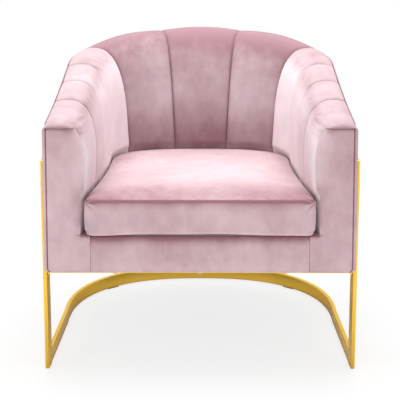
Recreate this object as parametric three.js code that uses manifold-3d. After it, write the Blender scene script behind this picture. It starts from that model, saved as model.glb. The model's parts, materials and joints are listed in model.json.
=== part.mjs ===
// A scallop back barrel chair: an upholstered U-shaped body with eleven padded channels,
// a loose seat cushion, and a flat-bar frame that stands on a U-shaped floor ring.
// Units are millimetres. +Z is up, the chair faces -Y, and +X is on the right from the front.
// While the pieces are made, Y = 0 is the front face of the uprights. The group at the end
// moves the whole chair so that its origin is at the middle of its footprint, on the floor.

import * as THREE from 'three';
import { mergeVertices } from 'three/addons/utils/BufferGeometryUtils.js';
import Module from 'manifold-3d';

const wasm = await Module();
wasm.setup();

// Overall sizes and the plan of the frame
const overall_width = 775;
const side_tuck = 20.5;          // how far each side draws in between the front and the back
const straight_run = 420;        // from the uprights' front faces to the start of the round back
const round_depth = 301;         // from there to the back of the floor ring
const fit_gap = 0.3;             // between pieces that rest on or against each other

// Flat-bar frame
const bar_thickness = 10;
const upright_depth = 40;
const upright_height = 539;
const ring_height = 34.7;
const ring_tuck = 17;            // how far the floor ring's sides draw in on each side
const ring_lead = 84;            // how much sooner than the body's sides the ring starts to turn
const band_height = 35;
const glide_thickness = 2;
const glide_length = 30;
const glide_width = 8;
const cross_rail_setback = 4;
const cross_rail_depth = 40;
const cross_rail_fillet = 6;
const body_bottom = 262;         // underside of the body, on top of the cross rail

// Screws
const bolt_radius = 4;
const bolt_clearance = 0.4;
const rail_bolt_length = 42;
const rail_bolt_spacing = 210;
const rail_bolt_setback = 18;
const bolt_head_radius = 7.5;
const bolt_head_height = 4;
const band_bolt_bite = 6;        // how far a body screw goes into the band
const bolt_hole_spare = 4;       // how far a hole goes past its screw's end, and a cut past a face

// Wooden body frame
const cover_thickness = 2.9;
const shell_thickness = 6;
const base_plate_thickness = 18;
const base_plate_front = 62;
const seat_rail_top = 339;
const seat_rail_front_thickness = 40;
const seat_rail_ledge = 14;      // what a seat rail shows inside the wall, where the springs rest
const seat_rail_backing = 34;    // what it reaches behind the wall's face
const top_rail_width = 28;
const top_rail_height = 40;
const top_rail_clearance = 3.5;
const post_width = 34;
const arm_post_depth = 45;
const back_post_length = 50;
const corner_block_leg = 70;
const corner_block_height = 45;

// Seat suspension
const spring_count = 4;
const spring_spacing = 92;
const spring_wire_radius = 2;
const spring_half_width = 22;
const spring_bend_length = 38;
const spring_rest = 8;           // how far a spring's end lies in on its rail
const spring_headroom = 0.7;
const deck_top = 353.5;
const dust_cover_thickness = 0.8;
const dust_cover_margin = 16;

// Padded wall: its face at seat level, the control line of its rounded crest, and its rim
const arm_front_thickness = 98.8;   // from the frame's outer face in to the wall's face
const arm_side_thickness = 122;
const wall_lead = 48;        // how far before the frame's the wall's round back starts
const back_thickness = 140;      // how much less the wall rounds than the frame
const crest_front_in = 123.5;    // from the frame's outer face in to the crest's control line
const crest_side_in = 124;
const crest_lead = 16.6;       // how far after the frame's the crest's round back starts
const crest_round_in = 158;
const crest_flat = 75;           // where the crest's rounding starts, out from its control line
const crest_drop = 183;          // where it ends, down from it
const wall_straight_top = 450;   // above this the wall leans out
const rim_front = 626;
const rim_back = 751;
const pad_thickness = 26;
const channel_crown = 12;
const seam_gap = 0.7;
const panel_gap = 0.8;
const inner_panel_thickness = 4;
const rim_fold = 1.5;            // how far the outside cover ends under the rim

// Front panels
const panel_depth = 14.7;
const panel_foot_in = 4.9;       // from the frame's outer face in to the panel's edge at its foot
const panel_top_in = 8;          // and at its top
const panel_seam_step = 20.2;    // how far the front panel's seams lie inside the wall's face
const panel_corner = 12;
const panel_shoulder = 7;
const panel_edge_round = 4;
const panel_top_gap = 1.2;

// Seat cushion
const cushion_front = 22;        // how far its face stands in front of the uprights
const cushion_inset = 5.5;
const cushion_height = 87;
const cushion_crown = 18;
const cushion_corner = 21;
const cushion_swell = 2.5;       // bulge of the boxing between its two seams
const cushion_draw = 2.5;        // how far the boxing pulls in between the front corners
const cushion_edge_round = 5;
const cushion_cover_thickness = 3;
const zip_half_length = 105;
const zip_height = 7;
const zip_thickness = 2;

// Shares and powers that shape the curves
const tuck_power = 1.6;
const frame_power = 2.1;
const ring_tuck_power = 1;
const ring_power = 2.35;
const wall_power = 2.84;
const crest_power = 2.54;
const straight_share = 0.45;
const crest_limit_share = 0.95;
const crest_blend_share = 0.25;
const middle_share = 0.5;
const least_gap_share = 0.1;     // of a station's width, left between two cuts of a curved piece

// Where the channel seams start at the rim and end at the seat, from the front (0) to the
// middle of the back (1)
const rim_seam_shares = [0, 0.169, 0.31, 0.44, 0.616, 0.892, 1];
const seat_seam_shares = [0, 0.137, 0.24, 0.445, 0.702, 0.94, 1];
const channels_per_side = 4;

// Finishes
const velvet = { color: 0xdcbac1, roughness: 0.85, metalness: 0 };
const velvet_back = { color: 0xd2aeb6, roughness: 0.85, metalness: 0 };
const brass_tone = { color: 0xd9b24a, roughness: 0.25, metalness: 1 };
const steel = { color: 0x9a9a98, roughness: 0.45, metalness: 1 };
const plywood = { color: 0xc9a676, roughness: 0.7, metalness: 0 };
const hardwood = { color: 0xb58a5a, roughness: 0.65, metalness: 0 };
const foam = { color: 0xe9e2c8, roughness: 0.95, metalness: 0 };
const black_cloth = { color: 0x1d1c1e, roughness: 0.95, metalness: 0 };
const nylon = { color: 0x6e6a62, roughness: 0.6, metalness: 0 };

const chair = new THREE.Group();
chair.position.y = -(straight_run + round_depth - cushion_front) / 2;

function addPiece(name, geometry, finish) {
  const mesh = new THREE.Mesh(geometry, new THREE.MeshStandardMaterial(finish));
  mesh.name = name;
  chair.add(mesh);
}

// Plan curves. A share runs from 0 at the right front, over 1 at the middle of the back,
// to 2 at the left front. The side draws in along a power curve, and the back is one half
// of a rounded square.
const half_turn = Math.PI;
const quarter_turn = half_turn / 2;
const powerOf = (value, power) => Math.max(value, 0) ** power;

function planPoint(plan, share) {
  const side = share > 1 ? -1 : 1;
  const along = share > 1 ? 2 - share : share;
  if (along < straight_share) {
    const done = along / straight_share;
    const tuck = (plan.front - plan.side) * (1 - done) ** (plan.tuckPower ?? tuck_power);
    return [side * (plan.side + tuck), done * plan.run];
  }
  const angle = (along - straight_share) / (1 - straight_share) * quarter_turn;
  const x = plan.side * powerOf(Math.cos(angle), 2 / plan.power);
  return [side * x, plan.run + plan.round * Math.sin(angle) ** (2 / plan.power)];
}

// The shares where every curved piece of the frame and shell has a station. Between two
// stations a piece is flat, so the flats of nested pieces lie side by side.
const stations_per_side = 6;
const stations_per_back = 20;
const stationShares = [];
for (let i = 0; i < stations_per_side; i += 1) stationShares.push(i / stations_per_side * straight_share);
for (let i = 0; i <= stations_per_back; i += 1) {
  stationShares.push(straight_share + i / stations_per_back * 2 * (1 - straight_share));
}
for (let i = stations_per_side - 1; i >= 0; i -= 1) {
  stationShares.push(2 - i / stations_per_side * straight_share);
}

function flatPoint(plan, share) {
  let i = 0;
  while (i < stationShares.length - 2 && share > stationShares[i + 1]) i += 1;
  const [ax, ay] = planPoint(plan, stationShares[i]);
  const [bx, by] = planPoint(plan, stationShares[i + 1]);
  const u = (share - stationShares[i]) / (stationShares[i + 1] - stationShares[i]);
  return [ax + (bx - ax) * u, ay + (by - ay) * u];
}

const framePlan = (inset) => ({
  front: overall_width / 2 - inset,
  side: overall_width / 2 - side_tuck - inset,
  run: straight_run,
  round: round_depth - inset,
  power: frame_power,
});
const ringPlan = (inset) => ({
  front: overall_width / 2 - inset,
  side: overall_width / 2 - ring_tuck - inset,
  run: straight_run - ring_lead,
  round: round_depth + ring_lead - inset,
  power: ring_power,
  tuckPower: ring_tuck_power,
});
const wallPlan = (inset) => ({
  front: overall_width / 2 - arm_front_thickness - inset,
  side: overall_width / 2 - side_tuck - arm_side_thickness - inset,
  run: straight_run - wall_lead,
  round: round_depth - back_thickness - inset,
  power: wall_power,
});
const crestPlan = {
  front: overall_width / 2 - crest_front_in,
  side: overall_width / 2 - side_tuck - crest_side_in,
  run: straight_run + crest_lead,
  round: round_depth - crest_round_in,
  power: crest_power,
};
const wallFace = wallPlan(0);

// The shares at which the frame's plan and the ring's have come back by a distance from the front
const shareBack = (distance) => distance / straight_run * straight_share;
const ringShareBack = (distance) => distance / ringPlan(0).run * straight_share;

// How far in from the frame's outer face each layer of the body starts
const cover_inset = bar_thickness + fit_gap;
const shell_inset = cover_inset + cover_thickness + fit_gap;
const wood_inset = shell_inset + shell_thickness + fit_gap;
const padPlan = framePlan(shell_inset);

// The rim rises in a straight line from the arm fronts to the middle of the back
const rim_slope = (rim_back - rim_front) / (straight_run + padPlan.round);
const rimAt = (share) => rim_front + rim_slope * flatPoint(padPlan, share)[1];

// A smooth curve through given points, with each point's slope taken from its neighbours
function smoothThrough(xs, ys, x) {
  let i = 0;
  while (i < xs.length - 2 && x > xs[i + 1]) i += 1;
  const slopeAt = (k) => {
    const low = Math.max(k - 1, 0);
    const high = Math.min(k + 1, xs.length - 1);
    return (ys[high] - ys[low]) / (xs[high] - xs[low]);
  };
  const width = xs[i + 1] - xs[i];
  const u = (x - xs[i]) / width;
  const rise = u * u * (3 - 2 * u);
  const start = u * (1 - u) * (1 - u) * width * slopeAt(i);
  const end = u * u * (u - 1) * width * slopeAt(i + 1);
  return ys[i] + (ys[i + 1] - ys[i]) * rise + start + end;
}

function seatShare(share) {
  const along = share > 1 ? 2 - share : share;
  const seat = smoothThrough(rim_seam_shares, seat_seam_shares, Math.max(along, 0));
  return share > 1 ? 2 - seat : seat;
}

// Solids from grids of points
const toVector = (p) => (p.isVector3 ? p : new THREE.Vector3(...p));

function signedVolume(points, faces) {
  const total = faces.reduce((sum, [a, b, c]) => (
    sum + toVector(points[a]).dot(toVector(points[b]).clone().cross(toVector(points[c])))), 0);
  return total / 6;
}

// A geometry from points and triangles, turned so that its faces point out
function closedGeometry(points, faces) {
  const out = signedVolume(points, faces) < 0 ? faces.map(([a, b, c]) => [a, c, b]) : faces;
  const geometry = new THREE.BufferGeometry();
  const flat = points.flatMap((p) => toVector(p).toArray());
  geometry.setAttribute('position', new THREE.Float32BufferAttribute(flat, 3));
  geometry.setIndex(out.flat());
  return geometry;
}

// A closed solid between a front and a back grid of points, joined round its four edges
function slabSolid(front, back) {
  const rows = front.length;
  const cols = front[0].length;
  const points = [...front.flat(), ...back.flat()];
  const f = (i, j) => i * cols + j;
  const b = (i, j) => rows * cols + i * cols + j;
  const faces = [];
  const quad = (p, q, r, s) => faces.push([p, q, r], [p, r, s]);
  for (let i = 0; i < rows - 1; i += 1) {
    for (let j = 0; j < cols - 1; j += 1) {
      quad(f(i, j), f(i, j + 1), f(i + 1, j + 1), f(i + 1, j));
      quad(b(i, j), b(i + 1, j), b(i + 1, j + 1), b(i, j + 1));
    }
    quad(f(i, 0), f(i + 1, 0), b(i + 1, 0), b(i, 0));
    quad(f(i, cols - 1), b(i, cols - 1), b(i + 1, cols - 1), f(i + 1, cols - 1));
  }
  for (let j = 0; j < cols - 1; j += 1) {
    quad(f(0, j), b(0, j), b(0, j + 1), f(0, j + 1));
    quad(f(rows - 1, j), f(rows - 1, j + 1), b(rows - 1, j + 1), b(rows - 1, j));
  }
  return closedGeometry(points, faces);
}

// A closed solid through rings of points with a cap point at each end
function ringSolid(rings, first, last) {
  const count = rings[0].length;
  const points = [first, ...rings.flat(), last];
  const at = (i, j) => 1 + i * count + (j % count);
  const faces = [];
  for (let j = 0; j < count; j += 1) {
    faces.push([0, at(0, j + 1), at(0, j)]);
    faces.push([points.length - 1, at(rings.length - 1, j), at(rings.length - 1, j + 1)]);
    for (let i = 0; i < rings.length - 1; i += 1) {
      faces.push([at(i, j), at(i, j + 1), at(i + 1, j + 1)], [at(i, j), at(i + 1, j + 1), at(i + 1, j)]);
    }
  }
  return closedGeometry(points, faces);
}

function sharesBetween(start, end) {
  const closest_share = straight_share / stations_per_side * least_gap_share;
  const inside = stationShares.filter((s) => s > start + closest_share && s < end - closest_share);
  return [start, ...inside, end];
}

// A bar that follows a plan curve: outer and inner plans, with a bottom and a top height
// that may change with the share
function planBar({ outer, inner, start, end, bottom, top }) {
  const height = (value, share) => (typeof value === 'function' ? value(share) : value);
  const shares = sharesBetween(start, end);
  const face = (plan) => [bottom, top].map((level) => (
    shares.map((share) => [...flatPoint(plan, share), height(level, share)])));
  return slabSolid(face(outer), face(inner));
}

// Booleans
function toManifold(geometry) {
  const bare = geometry.clone();
  bare.deleteAttribute('normal');
  bare.deleteAttribute('uv');
  const merged = mergeVertices(bare);
  const position = merged.getAttribute('position').array;
  return new wasm.Manifold(new wasm.Mesh({
    numProp: 3,
    vertProperties: new Float32Array(position),
    triVerts: new Uint32Array(merged.getIndex().array),
  }));
}

function fromManifold(solid) {
  const mesh = solid.getMesh();
  const geometry = new THREE.BufferGeometry();
  geometry.setAttribute('position', new THREE.BufferAttribute(new Float32Array(mesh.vertProperties), 3));
  geometry.setIndex(new THREE.BufferAttribute(new Uint32Array(mesh.triVerts), 1));
  return geometry;
}

const cutFrom = (geometry, tools) => fromManifold(
  tools.reduce((solid, tool) => solid.subtract(toManifold(tool)), toManifold(geometry)));
const joinTo = (geometry, others) => fromManifold(
  others.reduce((solid, other) => solid.add(toManifold(other)), toManifold(geometry)));

function boxBetween(low, high) {
  const [x, y, z] = low.map((value, i) => high[i] - value);
  const box = new THREE.BoxGeometry(x, y, z);
  box.translate(...low.map((value, i) => (value + high[i]) / 2));
  return box;
}

// An outline in plan, extruded upwards between two heights
function plateBetween(outline, bottom, top, holes = []) {
  const shape = new THREE.Shape(outline.map(([x, y]) => new THREE.Vector2(x, y)));
  shape.holes = holes.map((hole) => new THREE.Path(hole.map(([x, y]) => new THREE.Vector2(x, y))));
  const plate = new THREE.ExtrudeGeometry(shape, { depth: top - bottom, bevelEnabled: false, steps: 1 });
  plate.translate(0, 0, bottom);
  return plate;
}

// A plan curve as a closed outline, shut by a straight line at the front
const planOutline = (plan) => stationShares.map((share) => planPoint(plan, share));

// Bolts: a turned head and shank whose axis is +Z, with the underside of the head at zero
const bolt_sides = 12;
const bore_sides = 16;

function boltGeometry(length) {
  const profile = [
    [0, -bolt_head_height], [bolt_head_radius, -bolt_head_height], [bolt_head_radius, 0],
    [bolt_radius, 0], [bolt_radius, length], [0, length],
  ].map(([r, z]) => new THREE.Vector2(r, z));
  const bolt = new THREE.LatheGeometry(profile, bolt_sides);
  bolt.rotateX(quarter_turn);
  return bolt;
}

function boreGeometry(start, end) {
  const bore = new THREE.CylinderGeometry(
    bolt_radius + bolt_clearance, bolt_radius + bolt_clearance, end - start, bore_sides);
  bore.rotateX(quarter_turn);
  bore.translate(0, 0, (start + end) / 2);
  return bore;
}

// Flat-bar frame
const metalPlans = { outer: framePlan(0), inner: framePlan(bar_thickness) };
const frame_foot = glide_thickness + fit_gap;
const upright_share = shareBack(upright_depth);
const band_start_share = shareBack(upright_depth + fit_gap);
const ring_start_share = ringShareBack(upright_depth + fit_gap);
const band_bottom = upright_height - band_height;
const rail_underside = body_bottom - bar_thickness;

function makeFrame() {
  const sides = [['right', 0, upright_share], ['left', 2 - upright_share, 2]];
  for (const [side, start, end] of sides) {
    const bar = { ...metalPlans, start, end, bottom: frame_foot, top: upright_height };
    addPiece(`upright_${side}`, planBar(bar), brass_tone);
  }
  const ring = planBar({
    outer: ringPlan(0), inner: ringPlan(bar_thickness), start: ring_start_share, end: 2 - ring_start_share,
    bottom: frame_foot, top: frame_foot + ring_height,
  });
  addPiece('floor_ring', ring, brass_tone);
  const band = planBar({
    ...metalPlans, start: band_start_share, end: 2 - band_start_share, bottom: band_bottom, top: upright_height,
  });
  addPiece('back_band', cutFrom(band, bandBores()), brass_tone);
}

// The cross rail's ends follow the uprights, with a small weld fillet under each end
function makeCrossRail() {
  const innerFace = framePlan(bar_thickness + fit_gap);
  const front = cross_rail_setback;
  const back = front + cross_rail_depth;
  const ends = [front, back].map((y) => planPoint(innerFace, shareBack(y)));
  const outline = [ends[0], ends[1], [-ends[1][0], ends[1][1]], [-ends[0][0], ends[0][1]]];
  const rail = plateBetween(outline, rail_underside, body_bottom);
  const tip = cross_rail_fillet;
  const fillets = [1, -1].map((side) => {
    const corners = [[0, 0], [tip, 0], [tip, -tip]];
    const wedge = new THREE.Shape(corners.map(([x, z]) => new THREE.Vector2(side * x, z)));
    const fillet = new THREE.ExtrudeGeometry(wedge, { depth: upright_depth - front, bevelEnabled: false });
    fillet.rotateX(quarter_turn);
    fillet.translate(side * (ends[1][0] - tip), upright_depth, rail_underside);
    return fillet;
  });
  addPiece('cross_rail', cutFrom(joinTo(rail, fillets), railBores()), brass_tone);
}

// Nylon glides, two under the uprights and two under the back of the ring
function makeGlides() {
  const inset = (bar_thickness - glide_width) / 2;
  const rear_share = (1 + straight_share) / 2;
  const front = { plan: framePlan, length: shareBack(glide_length) };
  const rear = { plan: ringPlan, length: ringShareBack(glide_length) };
  const places = {
    front_right: { ...front, start: shareBack((upright_depth - glide_length) / 2) },
    back_right: { ...rear, start: rear_share },
    back_left: { ...rear, start: 2 - rear_share - rear.length },
    front_left: { ...front, start: 2 - shareBack((upright_depth + glide_length) / 2) },
  };
  for (const [place, { plan, length, start }] of Object.entries(places)) {
    const glide = planBar({
      outer: plan(inset), inner: plan(inset + glide_width), start, end: start + length,
      bottom: 0, top: glide_thickness,
    });
    addPiece(`glide_${place}`, glide, nylon);
  }
}

// Screws that hold the body: three up through the cross rail, four out through the shell
const rail_bolt_places = [-1, 0, 1].map((n) => n * rail_bolt_spacing);
const band_bolt_flats = [3, 11, 20, 28];   // the flats of the curved pieces that they go through

function railBores() {
  return rail_bolt_places.map((x) => {
    const end = rail_underside + rail_bolt_length + bolt_hole_spare;
    const bore = boreGeometry(rail_underside - bolt_hole_spare, end);
    bore.translate(x, rail_bolt_setback, 0);
    return bore;
  });
}

// A body screw's axis crosses the middle of one flat at a right angle, half way up the
// band. Zero on it is the inner face of the shell.
function placeOnBand(geometry, flat) {
  const plan = framePlan(shell_inset + shell_thickness);
  const [ax, ay] = planPoint(plan, stationShares[flat]);
  const [bx, by] = planPoint(plan, stationShares[flat + 1]);
  geometry.rotateX(quarter_turn);
  geometry.rotateZ(Math.atan2(by - ay, bx - ax));
  geometry.translate((ax + bx) / 2, (ay + by) / 2, upright_height - band_height / 2);
  return geometry;
}

const through_wall = shell_thickness + fit_gap + cover_thickness + fit_gap;

function bandBores() {
  const end = through_wall + band_bolt_bite + bolt_clearance;
  return band_bolt_flats.map((flat) => placeOnBand(boreGeometry(-bolt_hole_spare, end), flat));
}

// Room for the screws' heads, wherever a top rail lies level with the band
function headPockets() {
  const radius = bolt_head_radius + bolt_clearance;
  const depth = bolt_head_height + fit_gap + bolt_clearance;
  return band_bolt_flats.map((flat) => {
    const pocket = new THREE.CylinderGeometry(radius, radius, depth + bolt_hole_spare, bore_sides);
    pocket.rotateX(quarter_turn);
    pocket.translate(0, 0, (bolt_hole_spare - depth) / 2);
    return placeOnBand(pocket, flat);
  });
}

function makeBolts() {
  rail_bolt_places.forEach((x, i) => {
    const bolt = boltGeometry(rail_bolt_length);
    bolt.translate(x, rail_bolt_setback, rail_underside - fit_gap);
    addPiece(`rail_bolt_${i + 1}`, bolt, steel);
  });
  band_bolt_flats.forEach((flat, i) => {
    const bolt = boltGeometry(through_wall + band_bolt_bite);
    bolt.translate(0, 0, -fit_gap);
    addPiece(`band_bolt_${i + 1}`, placeOnBand(bolt, flat), steel);
  });
}

// The padded wall. A section at a share starts at the rim, runs in over the flat of the
// crest, turns down round it, and falls to the foot behind the cushion.
const pad_foot = seat_rail_top + fit_gap;
const flat_end_share = 0.2;            // share of the section at which the rounding starts
const round_end_share = 0.66;          // and ends
const straight_end_share = 0.9;        // share at which the wall turns straight down

function mix(a, b, t) {
  return a.clone().lerp(b, t);
}

function wallPoint(share, t) {
  const seat = seatShare(share);
  const rim = rimAt(share);
  const outer = new THREE.Vector3(...flatPoint(padPlan, share), rim);
  const crestShare = share + (seat - share) * crest_blend_share;
  const crest = new THREE.Vector3(...planPoint(crestPlan, crestShare), rim);
  const line = new THREE.Vector3(...planPoint(wallFace, seat), wall_straight_top);
  const foot = line.clone().setZ(pad_foot);
  const across = Math.min(crest_flat / outer.distanceTo(crest), crest_limit_share);
  const down = Math.min(crest_drop / line.distanceTo(crest), crest_limit_share);
  const roundStart = mix(crest, outer, across);
  const roundStop = mix(crest, line, down);
  if (t < flat_end_share) return mix(outer, roundStart, t / flat_end_share);
  if (t < round_end_share) {
    const u = (t - flat_end_share) / (round_end_share - flat_end_share);
    return mix(mix(roundStart, crest, u), mix(crest, roundStop, u), u);
  }
  if (t < straight_end_share) {
    return mix(roundStop, line, (t - round_end_share) / (straight_end_share - round_end_share));
  }
  return mix(line, foot, (t - straight_end_share) / (1 - straight_end_share));
}

const step_share = 0.004;

// The direction that faces out of the wall, in the upright plane of its section
function wallNormal(share, t) {
  const inward = wallPoint(share, flat_end_share).sub(wallPoint(share, 0)).setZ(0).normalize();
  const t0 = Math.max(t - step_share, 0);
  const t1 = Math.min(t + step_share, 1);
  const down = wallPoint(share, t1).sub(wallPoint(share, t0));
  return new THREE.Vector3(0, 0, down.dot(inward)).addScaledVector(inward, -down.z).normalize();
}

// A point behind (or, with a negative depth, in front of) the wall's face, never past the front
function wallOffset(share, t, depth) {
  const p = wallPoint(share, t).addScaledVector(wallNormal(share, t), -depth);
  p.y = Math.max(p.y, 0);
  return p;
}

// Rows down a section and columns across a channel
const wall_row_shares = [0, 0.06, 0.14, 0.22, 0.3, 0.38, 0.46, 0.55, 0.66, 0.78, 0.9, 1];
const seam_column_share = 0.06;        // the first column in from a seam
const channel_column_shares = [0, seam_column_share, 0.17, 0.33, 0.5, 0.67, 0.83, 1 - seam_column_share, 1];

// A channel's fullness: round between its seams, drawn in at the rim and flat behind the cushion
const rim_fullness_share = 0.35;
const full_from_share = 0.12;
const full_until_share = 0.7;

function fullness(t) {
  const grown = THREE.MathUtils.smoothstep(t, 0, full_from_share);
  const rise = rim_fullness_share + (1 - rim_fullness_share) * grown;
  return rise * (1 - THREE.MathUtils.smoothstep(t, full_until_share, straight_end_share));
}

const channelRound = (u) => Math.sqrt(Math.max(4 * u * (1 - u), 0));
// The channel beside an arm front stays full up to its front edge
const front_fullness_share = 0.6;
const frontRound = (u) => (
  u > middle_share ? channelRound(u) : front_fullness_share + (1 - front_fullness_share) * 2 * u);

function channelSolid(start, end, roundness) {
  const grid = (depthAt) => wall_row_shares.map((t) => {
    const width = wallPoint(start, t).distanceTo(wallPoint(end, t));
    const edge_share = seam_gap / 2 / width;
    return channel_column_shares.map((u) => {
      const inside = edge_share + u * (1 - 2 * edge_share);
      return wallOffset(start + (end - start) * inside, t, depthAt(u, t));
    });
  });
  const face = grid((u, t) => -channel_crown * roundness(u) * fullness(t));
  return slabSolid(face, grid(() => pad_thickness));
}

const channelSeamShares = [
  ...rim_seam_shares.slice(0, -1), ...rim_seam_shares.slice(0, -1).reverse().map((share) => 2 - share)];

function makeChannels() {
  const count = channelSeamShares.length - 1;
  for (let i = 0; i < count; i += 1) {
    const last = count - 1 - i;
    const side = i < channels_per_side ? 'right' : 'left';
    const number = Math.min(i, last) + 1;
    const middle = i >= channels_per_side && last >= channels_per_side;
    const name = middle ? `channel_back_${i - channels_per_side + 1}` : `channel_${side}_${number}`;
    const roundness = i === 0 ? frontRound : last === 0 ? (u) => frontRound(1 - u) : channelRound;
    const solid = channelSolid(channelSeamShares[i], channelSeamShares[i + 1], roundness);
    addPiece(name, solid, middle ? velvet_back : velvet);
  }
}

// Bent inner panels behind the channels, from the seat rails up and over onto the top rails
const panel_row_shares = [0.1, 0.22, 0.38, 0.55, 0.9, 1];
const panelColumnShares = channel_column_shares.filter(
  (u) => u === 0 || (u > seam_column_share && u < 1 - seam_column_share));

function innerPanelSolid(firstSeam, lastSeam) {
  const shares = [];
  for (let i = firstSeam; i < lastSeam; i += 1) {
    const width_share = channelSeamShares[i + 1] - channelSeamShares[i];
    for (const u of panelColumnShares) shares.push(channelSeamShares[i] + width_share * u);
  }
  shares.push(channelSeamShares[lastSeam]);
  const trim = shareBack(seam_gap);
  shares[0] += trim;
  shares[shares.length - 1] -= trim;
  const face = (depth) => panel_row_shares.map((t) => shares.map((share) => wallOffset(share, t, depth)));
  const near = pad_thickness + panel_gap;
  return slabSolid(face(near), face(near + inner_panel_thickness));
}

// The three stretches of the body: right side, back, left side
const seam_total = channelSeamShares.length - 1;
const stretches = {
  right: [0, channels_per_side], back: [channels_per_side, seam_total - channels_per_side],
  left: [seam_total - channels_per_side, seam_total],
};

function stretchShares(stretch) {
  const [first, last] = stretches[stretch].map((i) => channelSeamShares[i]);
  const trim = shareBack(seam_gap) / 2;
  return [first + (first > 0 ? trim : 0), last - (last < 2 ? trim : 0)];
}

const base_top = body_bottom + fit_gap + base_plate_thickness;
const rail_bottom = base_top + fit_gap;
const shellTopAt = (share) => rimAt(share) - pad_thickness - panel_gap;
const railTopAt = (share) => shellTopAt(share) - inner_panel_thickness - top_rail_clearance;
const railUndersideAt = (share) => railTopAt(share) - top_rail_height;

function makeBodyFrame() {
  const wood = framePlan(wood_inset);
  for (const stretch of Object.keys(stretches)) {
    const [start, end] = stretchShares(stretch);
    const shell = planBar({
      outer: framePlan(shell_inset), inner: framePlan(shell_inset + shell_thickness), start, end,
      bottom: body_bottom + fit_gap, top: shellTopAt,
    });
    addPiece(`shell_${stretch}`, cutFrom(shell, bandBores()), plywood);
    const topRail = planBar({
      outer: wood, inner: framePlan(wood_inset + top_rail_width), start, end,
      bottom: railUndersideAt, top: railTopAt,
    });
    addPiece(`top_rail_${stretch}`, cutFrom(topRail, headPockets()), hardwood);
    const [first, last] = stretches[stretch];
    addPiece(`inner_panel_${stretch}`, innerPanelSolid(first, last), plywood);
  }
}

// The base plate closes the hollow wall from below. Its hole is the open seat frame.
function makeBasePlate() {
  const outer = planOutline(framePlan(wood_inset));
  const holePlan = wallPlan(seat_rail_ledge);
  const inner = planOutline(holePlan).map(([x, y]) => [x, Math.max(y, base_plate_front)]);
  const front = inner.filter(([, y]) => y <= base_plate_front);
  const hole = inner.filter(([, y]) => y > base_plate_front);
  const corner = Math.max(...front.map(([x]) => Math.abs(x)), hole[0][0]);
  const opening = [[corner, base_plate_front], ...hole, [-corner, base_plate_front]];
  const plate = plateBetween(outer, body_bottom + fit_gap, base_top, [opening]);
  addPiece('base_plate', cutFrom(plate, railBores()), plywood);
}

// Seat rails stand on the base plate: one across the front and three under the padded wall
function makeSeatRails() {
  const outer = wallPlan(-seat_rail_backing);
  const inner = wallPlan(seat_rail_ledge);
  const levels = { bottom: rail_bottom, top: seat_rail_top };
  const frontEnd = planPoint(outer, 0)[0];
  const frontRail = boxBetween(
    [-frontEnd, fit_gap, rail_bottom], [frontEnd, seat_rail_front_thickness, seat_rail_top]);
  addPiece('seat_rail_front', cutFrom(frontRail, railBores()), hardwood);
  const start = (seat_rail_front_thickness + fit_gap) / wallFace.run * straight_share;
  const turn = straight_share + shareBack(fit_gap) / 2;
  const spans = {
    right: [start, straight_share], back: [turn, 2 - turn], left: [2 - straight_share, 2 - start],
  };
  for (const [place, [from, to]] of Object.entries(spans)) {
    const rail = planBar({ outer, inner, start: from, end: to, ...levels });
    addPiece(`seat_rail_${place}`, rail, hardwood);
  }
}

// Posts between the base plate and the top rails
function makePosts() {
  const outer = framePlan(wood_inset);
  const inner = framePlan(wood_inset + post_width);
  const levels = { bottom: rail_bottom, top: (share) => railUndersideAt(share) - fit_gap };
  const armEnd = shareBack(arm_post_depth);
  const backStart = channelSeamShares[channels_per_side] + shareBack(fit_gap + seam_gap);
  const backEnd = backStart + shareBack(back_post_length);
  const places = {
    arm_post_right: [shareBack(fit_gap), armEnd],
    back_post_right: [backStart, backEnd],
    back_post_left: [2 - backEnd, 2 - backStart],
    arm_post_left: [2 - armEnd, 2 - shareBack(fit_gap)],
  };
  for (const [name, [start, end]] of Object.entries(places)) {
    addPiece(name, planBar({ outer, inner, start, end, ...levels }), hardwood);
  }
}

// Triangular blocks in the two front corners of the seat frame
function makeCornerBlocks() {
  const y = seat_rail_front_thickness + fit_gap;
  const inner = wallPlan(seat_rail_ledge + fit_gap);
  const near = planPoint(inner, y / wallFace.run * straight_share)[0];
  const far = planPoint(inner, (y + corner_block_leg) / wallFace.run * straight_share)[0];
  const shape = [[near - corner_block_leg, y], [near, y], [far, y + corner_block_leg]];
  const base = base_top + fit_gap;
  addPiece('corner_block_right', plateBetween(shape, base, base + corner_block_height), hardwood);
  const mirrored = shape.map(([x, back]) => [-x, back]).reverse();
  addPiece('corner_block_left', plateBetween(mirrored, base, base + corner_block_height), hardwood);
}

// Zigzag springs that lie across the seat frame from front to back
const spring_wire_sides = 4;
const steps_per_bend = 4;

function wallBackAt(plan, x) {
  const across = Math.abs(x) / plan.side;
  return plan.run + plan.round * (1 - across ** plan.power) ** (1 / plan.power);
}

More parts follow.
